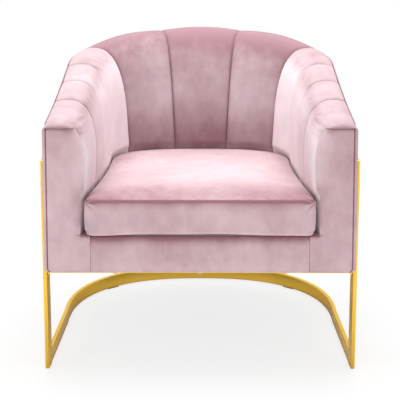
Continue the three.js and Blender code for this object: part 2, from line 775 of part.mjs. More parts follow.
function makeSprings() {
  const plan = wallPlan(seat_rail_ledge);
  const height = seat_rail_top + fit_gap + spring_wire_radius;
  const section = new THREE.Shape();
  for (let i = 0; i < spring_wire_sides; i += 1) {
    const angle = i / spring_wire_sides * 2 * half_turn;
    const at = [spring_wire_radius * Math.cos(angle), spring_wire_radius * Math.sin(angle)];
    if (i === 0) section.moveTo(...at);
    else section.lineTo(...at);
  }
  section.closePath();
  for (let n = 0; n < spring_count; n += 1) {
    const x = (n - (spring_count - 1) / 2) * spring_spacing;
    const start = seat_rail_front_thickness - spring_rest;
    const furthest = Math.abs(x) + spring_half_width;
    const end = wallBackAt(plan, furthest) + spring_rest;
    const bends = 2 * Math.round((end - start) / spring_bend_length / 2);
    const first_way = x < 0 ? 1 : -1;
    const path = [];
    for (let k = 0; k <= bends * steps_per_bend; k += 1) {
      const along = k / (bends * steps_per_bend);
      const swing = first_way * spring_half_width * Math.sin(along * bends * half_turn);
      path.push(new THREE.Vector3(x + swing, start + (end - start) * along, height));
    }
    const wire = new THREE.ExtrudeGeometry(section, {
      steps: bends * steps_per_bend, extrudePath: new THREE.CatmullRomCurve3(path), bevelEnabled: false,
    });
    addPiece(`seat_spring_${n + 1}`, wire, steel);
  }
}

// The deck pad over the springs, inside the feet of the channels
function makeDeck() {
  const bottom = seat_rail_top + fit_gap + 2 * spring_wire_radius + spring_headroom;
  const outline = planOutline(wallPlan(seam_gap)).map(([x, y]) => [x, Math.max(y, fit_gap)]);
  addPiece('deck_pad', plateBetween(outline, bottom, deck_top), velvet);
}

// Black cloth under the body, behind the cross rail
function makeDustCover() {
  const front = cross_rail_setback + cross_rail_depth + fit_gap;
  const outline = planOutline(framePlan(dust_cover_margin)).map(([x, y]) => [x, Math.max(y, front)]);
  const kept = outline.filter(([, y], i) => {
    const next = outline[Math.min(i + 1, outline.length - 1)];
    const previous = outline[Math.max(i - 1, 0)];
    return y > front || next[1] > front || previous[1] > front;
  });
  const bottom = body_bottom - dust_cover_thickness;
  addPiece('dust_cover', plateBetween(kept, bottom, body_bottom), black_cloth);
}

// Outside cover: one cloth round the sides and the back, from the underside to the rim
function makeOutsideCover() {
  const cover = planBar({
    outer: framePlan(cover_inset), inner: framePlan(cover_inset + cover_thickness), start: 0, end: 2,
    bottom: body_bottom + fit_gap, top: (share) => rimAt(share) - rim_fold,
  });
  addPiece('outside_cover', cutFrom(cover, bandBores()), velvet_back);
}

// A front panel is an outline seen from the front (x, z), padded out towards the viewer
function frontPanel(points) {
  const shape = new THREE.Shape(points.map(([x, z]) => new THREE.Vector2(x, z)));
  const panel = new THREE.ExtrudeGeometry(shape, {
    depth: panel_depth - panel_edge_round, bevelEnabled: true, bevelThickness: panel_edge_round,
    bevelSize: panel_edge_round, bevelOffset: -panel_edge_round, bevelSegments: 2, steps: 1,
  });
  panel.rotateX(quarter_turn);
  panel.translate(0, -fit_gap, 0);
  const kept = toManifold(panel);
  const far = overall_width;
  const room = boxBetween([-far, -panel_depth - fit_gap, 0], [far, -fit_gap, rim_back]);
  return fromManifold(kept.intersect(toManifold(room)));
}

const corner_steps = 4;

function roundCorner(cx, cz, radius, startTurn) {
  const points = [];
  for (let i = 0; i <= corner_steps; i += 1) {
    const angle = (startTurn + i / corner_steps) * quarter_turn;
    points.push([cx + radius * Math.cos(angle), cz + radius * Math.sin(angle)]);
  }
  return points;
}

const crest_row_shares = [0.06, 0.14, 0.2, 0.27, 0.34, 0.41, 0.48, 0.56, 0.62];

function makeFrontPanels() {
  const foot = body_bottom + fit_gap;
  const footHalf = overall_width / 2 - panel_foot_in;
  const topHalf = overall_width / 2 - panel_top_in;
  const seamHalf = wallFace.front - panel_seam_step;
  const top = rim_front - panel_top_gap;
  const crest = crest_row_shares.map((t) => {
    const p = wallPoint(0, t);
    return [p.x, p.z - panel_top_gap];
  });
  const outline = [
    ...roundCorner(footHalf - panel_corner, foot + panel_corner, panel_corner, 3),
    ...roundCorner(topHalf - panel_shoulder, top - panel_shoulder, panel_shoulder, 0),
    ...crest,
    [wallFace.front, wall_straight_top], [wallFace.front, deck_top],
    [seamHalf, deck_top - fit_gap], [seamHalf, foot],
  ];
  addPiece('arm_front_right', frontPanel(outline), velvet);
  addPiece('arm_front_left', frontPanel(outline.map(([x, z]) => [-x, z]).reverse()), velvet);
  const edge = seamHalf - seam_gap;
  const sill = deck_top - fit_gap;
  addPiece('front_panel', frontPanel([[-edge, foot], [edge, foot], [edge, sill], [-edge, sill]]), velvet);
}

// Seat cushion: a box cushion whose outline follows the wall, with round front corners
const cushion_bottom = deck_top + fit_gap;
const cushionShares = sharesBetween(0, 2);
const cushion_front_steps = 8;

function cushionOutline(inset) {
  const plan = wallPlan(cushion_inset + inset);
  const radius = cushion_corner;
  const face = -cushion_front + inset;
  const corner = roundCorner(plan.front - radius, face + radius, radius, 3);
  const sides = cushionShares.map((share) => planPoint(plan, share)).filter(([, y]) => y >= 0);
  const leftCorner = corner.map(([x, y]) => [-x, y]).reverse();
  const front = [];
  for (let i = 1; i < cushion_front_steps; i += 1) {
    const u = i / cushion_front_steps;
    const draw = cushion_draw * Math.sin(u * half_turn);
    front.push([(2 * u - 1) * (plan.front - radius), face + draw]);
  }
  return [...corner, ...sides, ...leftCorner, ...front];
}

// Rings from the middle of the underside out, up the boxing, and in over the crown
const fine_rings = {
  boxing_shares: [0, 0.12, 0.35, 0.65, 0.88, 1],
  crown_shares: [0.97, 0.9, 0.75, 0.52, 0.25],
};
const plain_rings = { boxing_shares: [0, 0.5, 1], crown_shares: [0.9, 0.6, 0.3] };
const crown_power = 4;          // how squarely the crown meets the seam

function cushionSolid(inset, rings) {
  const outline = cushionOutline(inset);
  const bottom = cushion_bottom + inset;
  const height = cushion_height - 2 * inset;
  const centre = new THREE.Vector2(0, outline.reduce((sum, [, y]) => sum + y, 0) / outline.length);
  const ringAt = (share, z, swell) => outline.map(([x, y]) => {
    const out = new THREE.Vector2(x - centre.x, y - centre.y);
    const grown = out.clone().multiplyScalar(share).addScaledVector(out.clone().normalize(), swell);
    return [centre.x + grown.x, centre.y + grown.y, z];
  });
  const boxing = rings.boxing_shares.map((share) => {
    const swell = cushion_swell * Math.sin(share * half_turn) - cushion_swell;
    const edge = Math.min(share, 1 - share) * height;
    const tuck = Math.max(cushion_edge_round - edge, 0) / 2;
    return ringAt(1, bottom + share * height, swell - tuck);
  });
  const crown = rings.crown_shares.map((share) => {
    const rise = cushion_crown * Math.sqrt(1 - share ** crown_power);
    return ringAt(share, bottom + height + rise, -cushion_swell);
  });
  const top = [centre.x, centre.y, bottom + height + cushion_crown];
  return ringSolid([...boxing, ...crown], [centre.x, centre.y, bottom], top);
}

function makeCushion() {
  const middle = cushion_bottom + cushion_height / 2;
  const back = wallBackAt(wallPlan(cushion_inset), zip_half_length);
  const deep = cushion_cover_thickness + cushion_swell + cushion_edge_round;
  const slot = boxBetween(
    [-zip_half_length, back - deep, middle - zip_height / 2],
    [zip_half_length, wallFace.run + wallFace.round, middle + zip_height / 2]);
  const hollow = cushionSolid(cushion_cover_thickness, plain_rings);
  addPiece('cushion_cover', cutFrom(cushionSolid(0, fine_rings), [hollow, slot]), velvet);
  addPiece('cushion_foam', cushionSolid(cushion_cover_thickness + fit_gap, plain_rings), foam);
}

// The zip lies in the slot at the back of the cushion's cover
function makeZip() {
  const middle = cushion_bottom + cushion_height / 2;
  const inset = cushion_inset + cushion_swell / 2;
  const plan = wallPlan(inset);
  const reach = (zip_half_length - fit_gap) / plan.side;
  const angle = Math.acos(reach ** (plan.power / 2));
  const start = straight_share + angle / quarter_turn * (1 - straight_share);
  const half = zip_height / 2 - fit_gap;
  const zip = planBar({
    outer: plan, inner: wallPlan(inset + zip_thickness), start, end: 2 - start,
    bottom: middle - half, top: middle + half,
  });
  addPiece('cushion_zip', zip, steel);
}

makeFrame();
makeCrossRail();
makeGlides();
makeBolts();
makeBasePlate();
makeSeatRails();
makeCornerBlocks();
makePosts();
makeBodyFrame();
makeSprings();
makeDeck();
makeDustCover();
makeChannels();
makeOutsideCover();
makeFrontPanels();
makeCushion();
makeZip();

export default chair;
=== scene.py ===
# %% [markdown]
# # A scallop back chair
# This lesson dresses a barrel chair: a U-shaped upholstered body with eleven padded channels, a
# loose seat cushion, and a thin gold frame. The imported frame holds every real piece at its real
# size. Each soft piece gets a finer surface here that stands for its plain solid, and the hard
# pieces get their finishes.

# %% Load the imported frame
import json
import math

import bmesh
import bpy
import numpy as np
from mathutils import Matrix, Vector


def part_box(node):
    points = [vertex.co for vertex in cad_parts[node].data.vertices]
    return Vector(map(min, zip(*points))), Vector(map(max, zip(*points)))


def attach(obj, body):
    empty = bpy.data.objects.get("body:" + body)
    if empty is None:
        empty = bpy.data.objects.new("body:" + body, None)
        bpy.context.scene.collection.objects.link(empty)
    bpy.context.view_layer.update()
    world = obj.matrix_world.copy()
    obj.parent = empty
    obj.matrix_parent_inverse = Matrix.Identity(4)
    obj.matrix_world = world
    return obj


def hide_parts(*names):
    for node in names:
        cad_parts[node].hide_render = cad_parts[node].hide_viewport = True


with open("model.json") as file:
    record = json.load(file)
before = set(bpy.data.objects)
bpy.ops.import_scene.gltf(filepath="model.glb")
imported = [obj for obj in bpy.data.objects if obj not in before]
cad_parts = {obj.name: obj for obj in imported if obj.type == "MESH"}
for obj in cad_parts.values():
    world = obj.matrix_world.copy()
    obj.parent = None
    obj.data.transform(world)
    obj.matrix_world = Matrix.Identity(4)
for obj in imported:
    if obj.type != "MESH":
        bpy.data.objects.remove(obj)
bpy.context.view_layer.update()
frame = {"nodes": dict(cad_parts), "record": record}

# %% [markdown]
# ## Sizes
# These are the chair's own sizes in metres. While a piece is made, Y = 0 is the front of the two
# uprights, because most of the chair is measured from there. The frame says how far that plane is
# from the origin, so the shift is read from it.

# %% Name the sizes
overall_width = 0.775
half_width = overall_width / 2
side_tuck = 0.0205
straight_run = 0.420
round_depth = 0.301
bar_thickness = 0.010
fit_gap = 0.0003
cover_thickness = 0.0029
cover_inset = bar_thickness + fit_gap
pad_inset = cover_inset + cover_thickness + fit_gap
pad_thickness = 0.026
body_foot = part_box("outside_cover")[0].z
band_low, band_high = (corner.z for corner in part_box("back_band"))
upright_low, upright_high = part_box("upright_right")
front_plane, upright_depth = upright_low.y, upright_high.y - upright_low.y
deck_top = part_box("deck_pad")[1].z
rim_front, rim_back = 0.626, 0.751
quarter_turn = math.pi / 2
print("front plane of the uprights at y =", round(front_plane, 4))

# %% [markdown]
# ## The plan of the chair
# Seen from above, the frame, the outside cover, the crest and the wall behind the cushion are all
# the same kind of U. A share of 0 is the right front, 1 is the middle of the back and 2 is the left
# front. The sides draw in along a power curve, and the back is half a rounded square, which one
# formula with one power gives. Working from a share lets every piece know where it lies along the
# U.

# %% Write the plan curves as formulas
tuck_power, ring_tuck_power = 1.6, 1.0
straight_share = 0.45
body_power, ring_power = 2.1, 2.35
ring_tuck, ring_lead = 0.017, 0.084
wall_in_front, wall_in_side, wall_in_back = 0.0988, 0.122, 0.140
wall_lead, wall_power = 0.048, 2.84
crest_in_front, crest_in_side, crest_in_back = 0.1235, 0.124, 0.158
crest_lag, crest_power = 0.0166, 2.54


def make_plan(front, side, run, depth, power, inset, tuck=tuck_power):
    """The measures of a U, moved in by inset: half its width in front and further back, the length of
    its straight side, the depth of its round back, and the powers of its two curves."""
    return {"front": front - inset, "side": side - inset, "run": run, "round": depth - inset,
            "power": power, "tuck_power": tuck}


def u_plan(inset):
    """The body's U."""
    return make_plan(half_width, half_width - side_tuck, straight_run, round_depth, body_power,
                     inset)


def ring_plan(inset):
    """The floor ring's U. Its sides are straight, and it starts to turn sooner."""
    return make_plan(half_width, half_width - ring_tuck, straight_run - ring_lead,
                     round_depth + ring_lead, ring_power, inset, ring_tuck_power)


def wall_plan(inset):
    """The U of the wall's face at seat level."""
    return make_plan(half_width - wall_in_front, half_width - side_tuck - wall_in_side,
                     straight_run - wall_lead, round_depth - wall_in_back, wall_power, inset)


pad_plan = u_plan(pad_inset)
crest_plan = make_plan(half_width - crest_in_front, half_width - side_tuck - crest_in_side,
                       straight_run + crest_lag, round_depth - crest_in_back, crest_power, 0)


def folded(share):
    """The share as counted from the nearer front, so that 1.2 gives 0.8."""
    share = np.asarray(share, float)
    return np.minimum(share, 2 - share)


def plan_point(plan, share):
    """x and y on a U. On the side, x is the side's half width plus what is left of the tuck, to a
    power, and y grows evenly. Round the back, they are the cosine and the sine to the power 2/p."""
    along = folded(share)
    done = np.clip(along / straight_share, 0, 1)
    tuck = (plan["front"] - plan["side"]) * (1 - done) ** plan["tuck_power"]
    angle = np.clip((along - straight_share) / (1 - straight_share), 0, 1) * quarter_turn
    round_x = plan["side"] * np.maximum(np.cos(angle), 0) ** (2 / plan["power"])
    round_y = plan["run"] + plan["round"] * np.sin(angle) ** (2 / plan["power"])
    on_side = along < straight_share
    x = np.where(on_side, plan["side"] + tuck, round_x)
    return np.where(np.asarray(share) > 1, -x, x), np.where(on_side, done * plan["run"], round_y)


def plan_xy(plan, share):
    """The same as one array of x and y."""
    return np.stack(plan_point(plan, share), -1)


def share_back(distance):
    """The share at which the frame's U has come back by a distance from the front."""
    return distance / straight_run * straight_share


def smooth(value, low, high):
    """0 below low, 1 above high, and a smooth cubic rise between them."""
    u = np.clip((np.asarray(value, float) - low) / (high - low), 0, 1)
    return u * u * (3 - 2 * u)


def lerp(a, b, t):
    """The point a share t of the way from a to b."""
    return a + (b - a) * np.asarray(t)[..., None]


def ease(count):
    """Shares from 0 to 1 that lie closer together at both ends: half of one minus a cosine."""
    return (1 - np.cos(np.linspace(0, math.pi, count))) / 2


def bell(distance, width):
    """A bell curve: e to the power of minus the square of the distance in widths."""
    return np.exp(-(distance / width) ** 2)


rim_slope = (rim_back - rim_front) / (straight_run + pad_plan["round"])
corner_dip, dip_share, dip_width_share = 0.0035, 0.62, 0.13
back_lift, back_lift_from = 0.0020, 0.78


def rim_at(share):
    """The rim's height: a straight line in y from the arm fronts to the middle of the back, a little
    lower round the corners (a bell curve in share) and a little higher at the middle."""
    along = folded(share)
    dip = corner_dip * bell(along - dip_share, dip_width_share)
    lift = back_lift * smooth(along, back_lift_from, 1)
    return rim_front + rim_slope * plan_point(pad_plan, share)[1] - dip + lift


print("rim from", rim_front, "to", round(float(rim_at(1.0)), 3))

# %% [markdown]
# ## From grids of points to meshes
# Every piece is a grid of points worked out as one array. A solid is either a grid that wraps round
# in one direction, like a bar, or a slab with a front and a back grid. One helper turns points and
# quads into an object, welds what meets, and points the faces outwards.

# %% Build meshes from grids
weld_distance = 2e-6


def grid_quads(rows, cols, wrap=False):
    """Vertex numbers of a grid's quads. With wrap, the last column is joined to the first."""
    i, j = np.meshgrid(np.arange(rows - 1), np.arange(cols if wrap else cols - 1), indexing="ij")
    right = (j + 1) % cols
    here, below = i * cols, (i + 1) * cols
    quads = np.stack([here + j, here + right, below + right, below + j], -1)
    return quads.reshape(-1, 4)


def slab(front, back):
    """Points and quads of the closed solid between two grids, with a strip round their four edges."""
    rows, cols = front.shape[:2]
    count = rows * cols
    quads = grid_quads(rows, cols)
    top = np.arange(cols)
    right = np.arange(1, rows) * cols + cols - 1
    bottom = (rows - 1) * cols + np.arange(cols - 2, -1, -1)
    left = np.arange(rows - 2, 0, -1) * cols
    loop = np.concatenate([top, right, bottom, left])
    ahead = np.roll(loop, -1)
    edge = np.stack([ahead, loop, loop + count, ahead + count], -1)
    points = np.concatenate([front.reshape(-1, 3), back.reshape(-1, 3)])
    return points, np.concatenate([quads, quads[:, ::-1] + count, edge])


def tube(grid):
    """Points and quads of a grid whose columns wrap round, closed at both ends by a middle point."""
    first, last = (np.repeat(row.mean(0)[None, None], grid.shape[1], 1)
                   for row in (grid[0], grid[-1]))
    full = np.concatenate([first, grid, last])
    return full.reshape(-1, 3), grid_quads(full.shape[0], full.shape[1], wrap=True)


def new_object(name, points, quads, shading_and_tone=None):
    """A mesh object from points in working places, moved so that it lies in the frame. The last
    argument holds a number for each point, which the velvet reads as painted light and shade: over 0
    its colour is lighter, under 0 darker."""
    placed = points + np.array([0, front_plane, 0])
    mesh = bpy.data.meshes.new(name)
    mesh.vertices.add(len(placed))
    mesh.vertices.foreach_set("co", placed.astype(np.float32).ravel())
    mesh.loops.add(quads.size)
    mesh.loops.foreach_set("vertex_index", quads.astype(np.int32).ravel())
    mesh.polygons.add(len(quads))
    mesh.polygons.foreach_set("loop_start", np.arange(0, quads.size, 4, dtype=np.int32))
    mesh.update(calc_edges=True)
    # The attribute holds each point's painted light and shade.
    if shading_and_tone is not None:
        variation = mesh.attributes.new("shading_and_tone", "FLOAT", "POINT")
        variation.data.foreach_set("value", np.asarray(shading_and_tone, np.float32).ravel())
    shape = bmesh.new()
    shape.from_mesh(mesh)
    bmesh.ops.remove_doubles(shape, verts=shape.verts, dist=weld_distance)
    bmesh.ops.dissolve_degenerate(shape, edges=shape.edges, dist=weld_distance)
    bmesh.ops.recalc_face_normals(shape, faces=shape.faces)
    shape.to_mesh(mesh)
    shape.free()
    mesh.shade_smooth()
    return link_object(name, mesh)


def link_object(name, data):
    """An object that holds the data, put into the scene."""
    made = bpy.data.objects.new(name, data)
    bpy.context.scene.collection.objects.link(made)
    return made


def slab_object(name, front, back, shading_and_tone, side=1):
    """The solid between two grids, mirrored to the left half where side is -1."""
    points, quads = slab(front * [side, 1, 1], back * [side, 1, 1])
    return new_object(name, points, quads, np.concatenate([shading_and_tone.ravel()] * 2))


def paint(piece, finish):
    """Makes a finish the only one of a piece."""
    piece.data.materials.clear()
    piece.data.materials.append(finish)


def dress(piece, finish, stands_for, body="chair", sharp=None):
    """Gives a piece its finish and its body, and hides the nodes that it stands for."""
    paint(piece, finish)
    if sharp is not None:
        piece.data.set_sharp_from_angle(angle=sharp)
    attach(piece, body)
    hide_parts(*stands_for)
    print(piece.name, "has", len(piece.data.polygons), "faces")
    return piece


# %% [markdown]
# ## Velvet
# Velvet is a short pile on a woven ground. It looks darker where the eye looks straight into the
# pile and lighter where it is seen along the surface, which the shader's sheen gives. Hands and
# folds lay the pile in patches, so two soft noises move the colour a little, and a very fine one
# gives the nap its grain. Each piece also carries painted light and shade, a number for each point
# that is added to the noises. The same pile is on every cover, so it is one node group with its
# own scales.

# %% Make the velvet
def fill_inputs(tree, made, values):
    """Gives inputs, by name or number, their values, or a link where the value is a socket."""
    for key, value in values.items():
        if isinstance(value, bpy.types.NodeSocket):
            tree.links.new(value, made.inputs[key])
        else:
            made.inputs[key].default_value = value


def node(tree, kind, values=None, **settings):
    """A node with its settings given by name and its inputs by a table."""
    made = tree.nodes.new("ShaderNode" + kind)
    for key, value in settings.items():
        setattr(made, key, value)
    fill_inputs(tree, made, values or {})
    return made


def noise(tree, source, scale, detail=2.0, roughness=0.5, stretch=None):
    """Noise on object coordinates, drawn out along an axis where stretch is given."""
    if stretch is not None:
        source = node(tree, "Mapping", {"Vector": source, "Scale": stretch}).outputs["Vector"]
    values = {"Vector": source, "Scale": scale, "Detail": detail, "Roughness": roughness}
    return node(tree, "TexNoise", values).outputs["Fac"]


def remap(tree, value, low, high, to_low, to_high):
    """A value moved from one range to another, kept inside it."""
    values = {"Value": value, "From Min": low, "From Max": high,
              "To Min": to_low, "To Max": to_high}
    return node(tree, "MapRange", values, clamp=True).outputs["Result"]


def blend_colors(tree, factor, first, second):
    """A colour between two, by a factor. A colour may be a socket or four numbers, and the node's
    inputs 6 and 7 are its two colours."""
    return node(tree, "Mix", {"Factor": factor, 6: first, 7: second}, data_type="RGBA").outputs[2]


def combine(tree, operation, first, second, clamp=False):
    """Two values put together by a Math node."""
    made = node(tree, "Math", {0: first, 1: second}, operation=operation, use_clamp=clamp)
    return made.outputs[0]


def bump(tree, height, distance, strength):
    """A height turned into a normal."""
    values = {"Height": height, "Distance": distance, "Strength": strength}
    return node(tree, "Bump", values).outputs["Normal"]


def make_pile_group():
    """Pile: a broad noise and a finer one give the velvet's uneven tone, the piece's painted light and
    shade is added to them, and the sum mixes the dark and the light colour. Height is the fine nap."""
    group = bpy.data.node_groups.new("pile_and_shading", "ShaderNodeTree")
    for name, kind, way in (("Light", "Color", "INPUT"), ("Dark", "Color", "INPUT"),
                            ("Lay", "Float", "INPUT"), ("Color", "Color", "OUTPUT"),
                            ("Height", "Float", "OUTPUT")):
        group.interface.new_socket(name, in_out=way, socket_type="NodeSocket" + kind)
    given = group.nodes.new("NodeGroupInput").outputs
    place = node(group, "TexCoord").outputs["Object"]
    variation = noise(group, place, 7.0, 3.0, 0.55)
    marks = noise(group, place, 34.0, 4.0, 0.62, stretch=(1.0, 1.0, 0.7))
    noises = combine(group, "ADD", remap(group, variation, 0.35, 0.65, 0.31, 0.45),
                     remap(group, marks, 0.3, 0.7, 0.0, 0.13))
    # Here the piece's painted light and shade is added to the noises.
    shading_and_tone = combine(group, "ADD", noises, given["Lay"], clamp=True)
    nap = noise(group, place, 900.0, 2.0, 0.6)
    fill_inputs(group, group.nodes.new("NodeGroupOutput"),
                {"Color": blend_colors(group, shading_and_tone, given["Dark"], given["Light"]), "Height": nap})
    return group


pile_and_shading = make_pile_group()


def new_material(name):
    """A material with its shader, and the object coordinates for its textures."""
    finish = bpy.data.materials.new(name)
    finish.use_nodes = True
    tree = finish.node_tree
    return finish, tree, tree.nodes["Principled BSDF"], node(tree, "TexCoord").outputs["Object"]


def make_velvet(name, light, dark, sheen):
    """Velvet from the pile group, with sheen for the bright edge of the pile."""
    finish, tree, shader, _ = new_material(name)
    # Each point's painted light and shade, read from its mesh attribute.
    variation = node(tree, "Attribute", attribute_name="shading_and_tone").outputs["Fac"]
    pile = node(tree, "Group", node_tree=pile_and_shading)
    fill_inputs(tree, pile, {"Light": light, "Dark": dark, "Lay": variation})
    fill_inputs(tree, shader, {
        "Base Color": pile.outputs["Color"], "Roughness": 0.85, "Specular IOR Level": 0.15,
        "Sheen Weight": sheen, "Sheen Roughness": 0.55, "Sheen Tint": (1.0, 0.82, 0.855, 1),
        "Normal": bump(tree, pile.outputs["Height"], 0.0004, 0.35)})
    return finish


# The two colours that the noises and each point's painted light and shade mix between.
light_pile, dark_pile = (0.83, 0.735, 0.76, 1), (0.30, 0.165, 0.190, 1)
velvet = make_velvet("velvet", light_pile, dark_pile, 0.3)
outside_velvet = make_velvet("outside_velvet", light_pile, dark_pile, 0.2)
# A darker, redder copy of the velvet for the arm panels, the low panel and the cushion: painted shade.
shaded_front_velvet = make_velvet("shaded_front_velvet", (0.82, 0.68, 0.71, 1), (0.28, 0.13, 0.155, 1), 0.3)
# The welt's velvet is made dark: painted shade for its groove.
shaded_welt_velvet = make_velvet("shaded_welt_velvet", (0.30, 0.15, 0.18, 1), (0.16, 0.075, 0.092, 1), 0.05)
print("velvet is made, with", len(pile_and_shading.nodes), "nodes in its pile group")

# %% [markdown]
# ## Gold metal
# The frame is flat bar with a polished gold finish. A polish is never even: a fine grain runs along
# the bars, and a slow change in roughness breaks up the reflections. Both come from noises, so the
# metal isn't one flat colour, and the brightness comes from what it reflects.

# %% Make the gold metal
def make_gold():
    """Polished gold: colour and roughness moved a little by a slow noise and a fine brushed one."""
    finish, tree, shader, place = new_material("gold_metal")
    slow = noise(tree, place, 7.0)
    variation = noise(tree, place, 60.0, 3.0, 0.6, stretch=(0.35, 0.35, 9.0))
    fill_inputs(tree, shader, {
        "Base Color": blend_colors(tree, slow, (0.78, 0.475, 0.052, 1), (0.83, 0.53, 0.085, 1)),
        "Roughness": remap(tree, variation, 0.3, 0.7, 0.15, 0.24),
        "Metallic": 1.0, "Specular Tint": (1.0, 0.90, 0.68, 1),
        "Normal": bump(tree, variation, 0.00004, 0.3)})
    return finish


gold = make_gold()
print("gold is made, with", len(gold.node_tree.nodes), "nodes")

# %% [markdown]
# ## Wood, steel, foam, cloth and nylon
# These finishes are on what the covers hide and on the small parts under the chair. Plywood and
# hardwood share a grain: noise drawn out along the wood. The layers of plywood show on its edges,
# so its noise changes fast in height. Foam gets open pores, and the dust cloth the dotted bonding
# of such cloth.

# %% Make the other finishes
def make_wood(name, light, dark, stretch, ring_scale):
    """Wood: a drawn-out noise mixes two browns, and the same noise raises the grain."""
    finish, tree, shader, place = new_material(name)
    grain = noise(tree, place, ring_scale, 5.0, 0.65, stretch=stretch)
    fill_inputs(tree, shader, {
        "Base Color": blend_colors(tree, remap(tree, grain, 0.3, 0.7, 0.0, 1.0), dark, light),
        "Roughness": remap(tree, grain, 0.3, 0.7, 0.62, 0.5),
        "Normal": bump(tree, grain, 0.0003, 0.5)})
    return finish


def make_steel():
    """Plain drawn steel: grey metal whose roughness follows a fine noise."""
    finish, tree, shader, place = new_material("spring_steel")
    drawn = noise(tree, place, 220.0, 3.0)
    fill_inputs(tree, shader, {
        "Base Color": blend_colors(tree, drawn, (0.40, 0.39, 0.38, 1), (0.56, 0.55, 0.53, 1)),
        "Roughness": remap(tree, drawn, 0.3, 0.7, 0.3, 0.46), "Metallic": 1.0})
    return finish


def make_dotted(name, light, dark, scale, distance, roughness):
    """Small cells: a Voronoi distance gives foam its pores and bonded cloth its dots."""
    finish, tree, shader, place = new_material(name)
    cells = node(tree, "TexVoronoi", {"Vector": place, "Scale": scale})
    depth = remap(tree, cells.outputs["Distance"], 0.0, 0.7, 0.0, 1.0)
    fill_inputs(tree, shader, {"Base Color": blend_colors(tree, depth, dark, light),
                               "Roughness": roughness, "Normal": bump(tree, depth, distance, 0.6)})
    return finish


foam = make_dotted("foam", (0.80, 0.74, 0.55, 1), (0.55, 0.49, 0.34, 1), 700.0, 0.0006, 0.95)
dust_cloth = make_dotted("dust_cloth", (0.022, 0.021, 0.023, 1), (0.010, 0.010, 0.011, 1),
                         420.0, 0.0003, 0.9)
finishes = {
    "gold_metal": gold, "velvet": velvet, "foam": foam, "dust_cloth": dust_cloth,
    "spring_steel": make_steel(),
    "plywood": make_wood("plywood", (0.62, 0.42, 0.22, 1), (0.42, 0.26, 0.12, 1), (1, 1, 14), 30.0),
    "hardwood": make_wood("hardwood", (0.50, 0.30, 0.15, 1), (0.30, 0.16, 0.07, 1), (9, 1, 9), 18.0),
    "nylon": make_dotted("nylon", (0.34, 0.31, 0.25, 1), (0.28, 0.25, 0.20, 1), 300.0, 0.0001, 0.55),
}
print("finishes:", sorted(finishes))

# %% [markdown]
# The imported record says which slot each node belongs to, so the hard pieces take their finishes
# from it.

# %% Give every node its finish
for subpart in frame["record"]["subparts"]:
    paint(frame["nodes"][subpart["node"]], finishes[subpart["material_slot"]])

# %% [markdown]
# ## The gold frame
# The frame is flat bar bent round the chair: a ring on the floor, a band behind the body, and two
# uprights. A bar is a rounded rectangle carried along the U. The tiny edge radius matters, because
# it catches the light as a bright line, as the edges of real polished bar do.

# %% Carry a bar section along the plan
bar_edge_radius = 0.0009
bar_edge_steps = 4


def bar_section(height):
    """A rounded rectangle as (across, up): each corner is a quarter circle round its own centre."""
    r = bar_edge_radius
    turn = np.linspace(0, quarter_turn, bar_edge_steps + 1)
    angle = (np.arange(4) * quarter_turn)[:, None] + turn[None, :]
    centre_x = np.array([bar_thickness - r, r, r, bar_thickness - r])
    centre_z = np.array([height - r, height - r, r, r])
    across = centre_x[:, None] + r * np.cos(angle)
    up = centre_z[:, None] + r * np.sin(angle)
    return across.ravel(), up.ravel()


def plan_bar(plan, start, end, bottom, height, steps):
    """A bar along a U: section points lie between the outer and the inner curve by their distance
    across, and the first and last rows are drawn in by the edge radius to round the ends."""
    across, up = bar_section(height)
    rounding = share_back(bar_edge_radius)
    shares = np.concatenate([[start], np.linspace(start + rounding, end - rounding, steps), [end]])
    outer = plan_xy(plan(0), shares)
    inner = plan_xy(plan(bar_thickness), shares)
    draw = np.zeros(len(shares))
    draw[[0, -1]] = 1
    middle = np.array([bar_thickness, height]) / 2
    shrink = 1 - draw[:, None] * bar_edge_radius / middle[None, :]
    wide = middle[0] + (across[None, :] - middle[0]) * shrink[:, :1]
    tall = middle[1] + (up[None, :] - middle[1]) * shrink[:, 1:]
    plane = outer[:, None, :] + (inner - outer)[:, None, :] * (wide / bar_thickness)[..., None]
    return np.concatenate([plane, (bottom + tall)[..., None]], -1)


# %% Make the ring, the band and the uprights
upright_share = share_back(upright_depth)
band_start = share_back(upright_depth + fit_gap)
ring_start = (upright_depth + fit_gap) / ring_plan(0)["run"] * straight_share
frame_foot, ring_top = (corner.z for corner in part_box("floor_ring"))
long_steps, short_steps = 320, 8
sharp_edge = math.radians(50)
ring_size = (frame_foot, ring_top - frame_foot, long_steps)
band_size = (band_low, band_high - band_low, long_steps)
upright_size = (frame_foot, upright_high.z - frame_foot, short_steps)
bars = {"floor_ring": (ring_plan, ring_start, 2 - ring_start, *ring_size),
        "back_band": (u_plan, band_start, 2 - band_start, *band_size),
        "upright_right": (u_plan, 0, upright_share, *upright_size),
        "upright_left": (u_plan, 2 - upright_share, 2, *upright_size)}
for name, sizes in bars.items():
    dress(new_object("bar_" + name, *tube(plan_bar(*sizes))), gold, [name])

# %% [markdown]
# ## The padded wall
# A section through the wall starts at the rim, runs in over the flat of the crest, turns down round
# it and falls to the foot behind the cushion. At the top the sections are spread along the rim by
# one set of shares and at the seat by another, because the seams lean. The formula is the frame's
# own, so each pad fills the space of its solid.

# %% Write the wall as a function of two parameters
rim_seam_shares = np.array([0, 0.169, 0.31, 0.44, 0.616, 0.892, 1])
seat_seam_shares = np.array([0, 0.137, 0.24, 0.445, 0.702, 0.94, 1])
pad_foot = 0.3393
wall_line_height = 0.450
crest_flat, crest_drop = 0.075, 0.183
crest_limit_share, crest_blend_share = 0.95, 0.25
flat_end_share, round_end_share, straight_end_share = 0.2, 0.66, 0.9


def raised(xy, height):
    """Plan places with a height added to each."""
    return np.concatenate([xy, np.broadcast_to(height, xy.shape[:-1])[..., None]], -1)


def length(vectors):
    """The lengths of an array of vectors."""
    return np.linalg.norm(vectors, axis=-1)


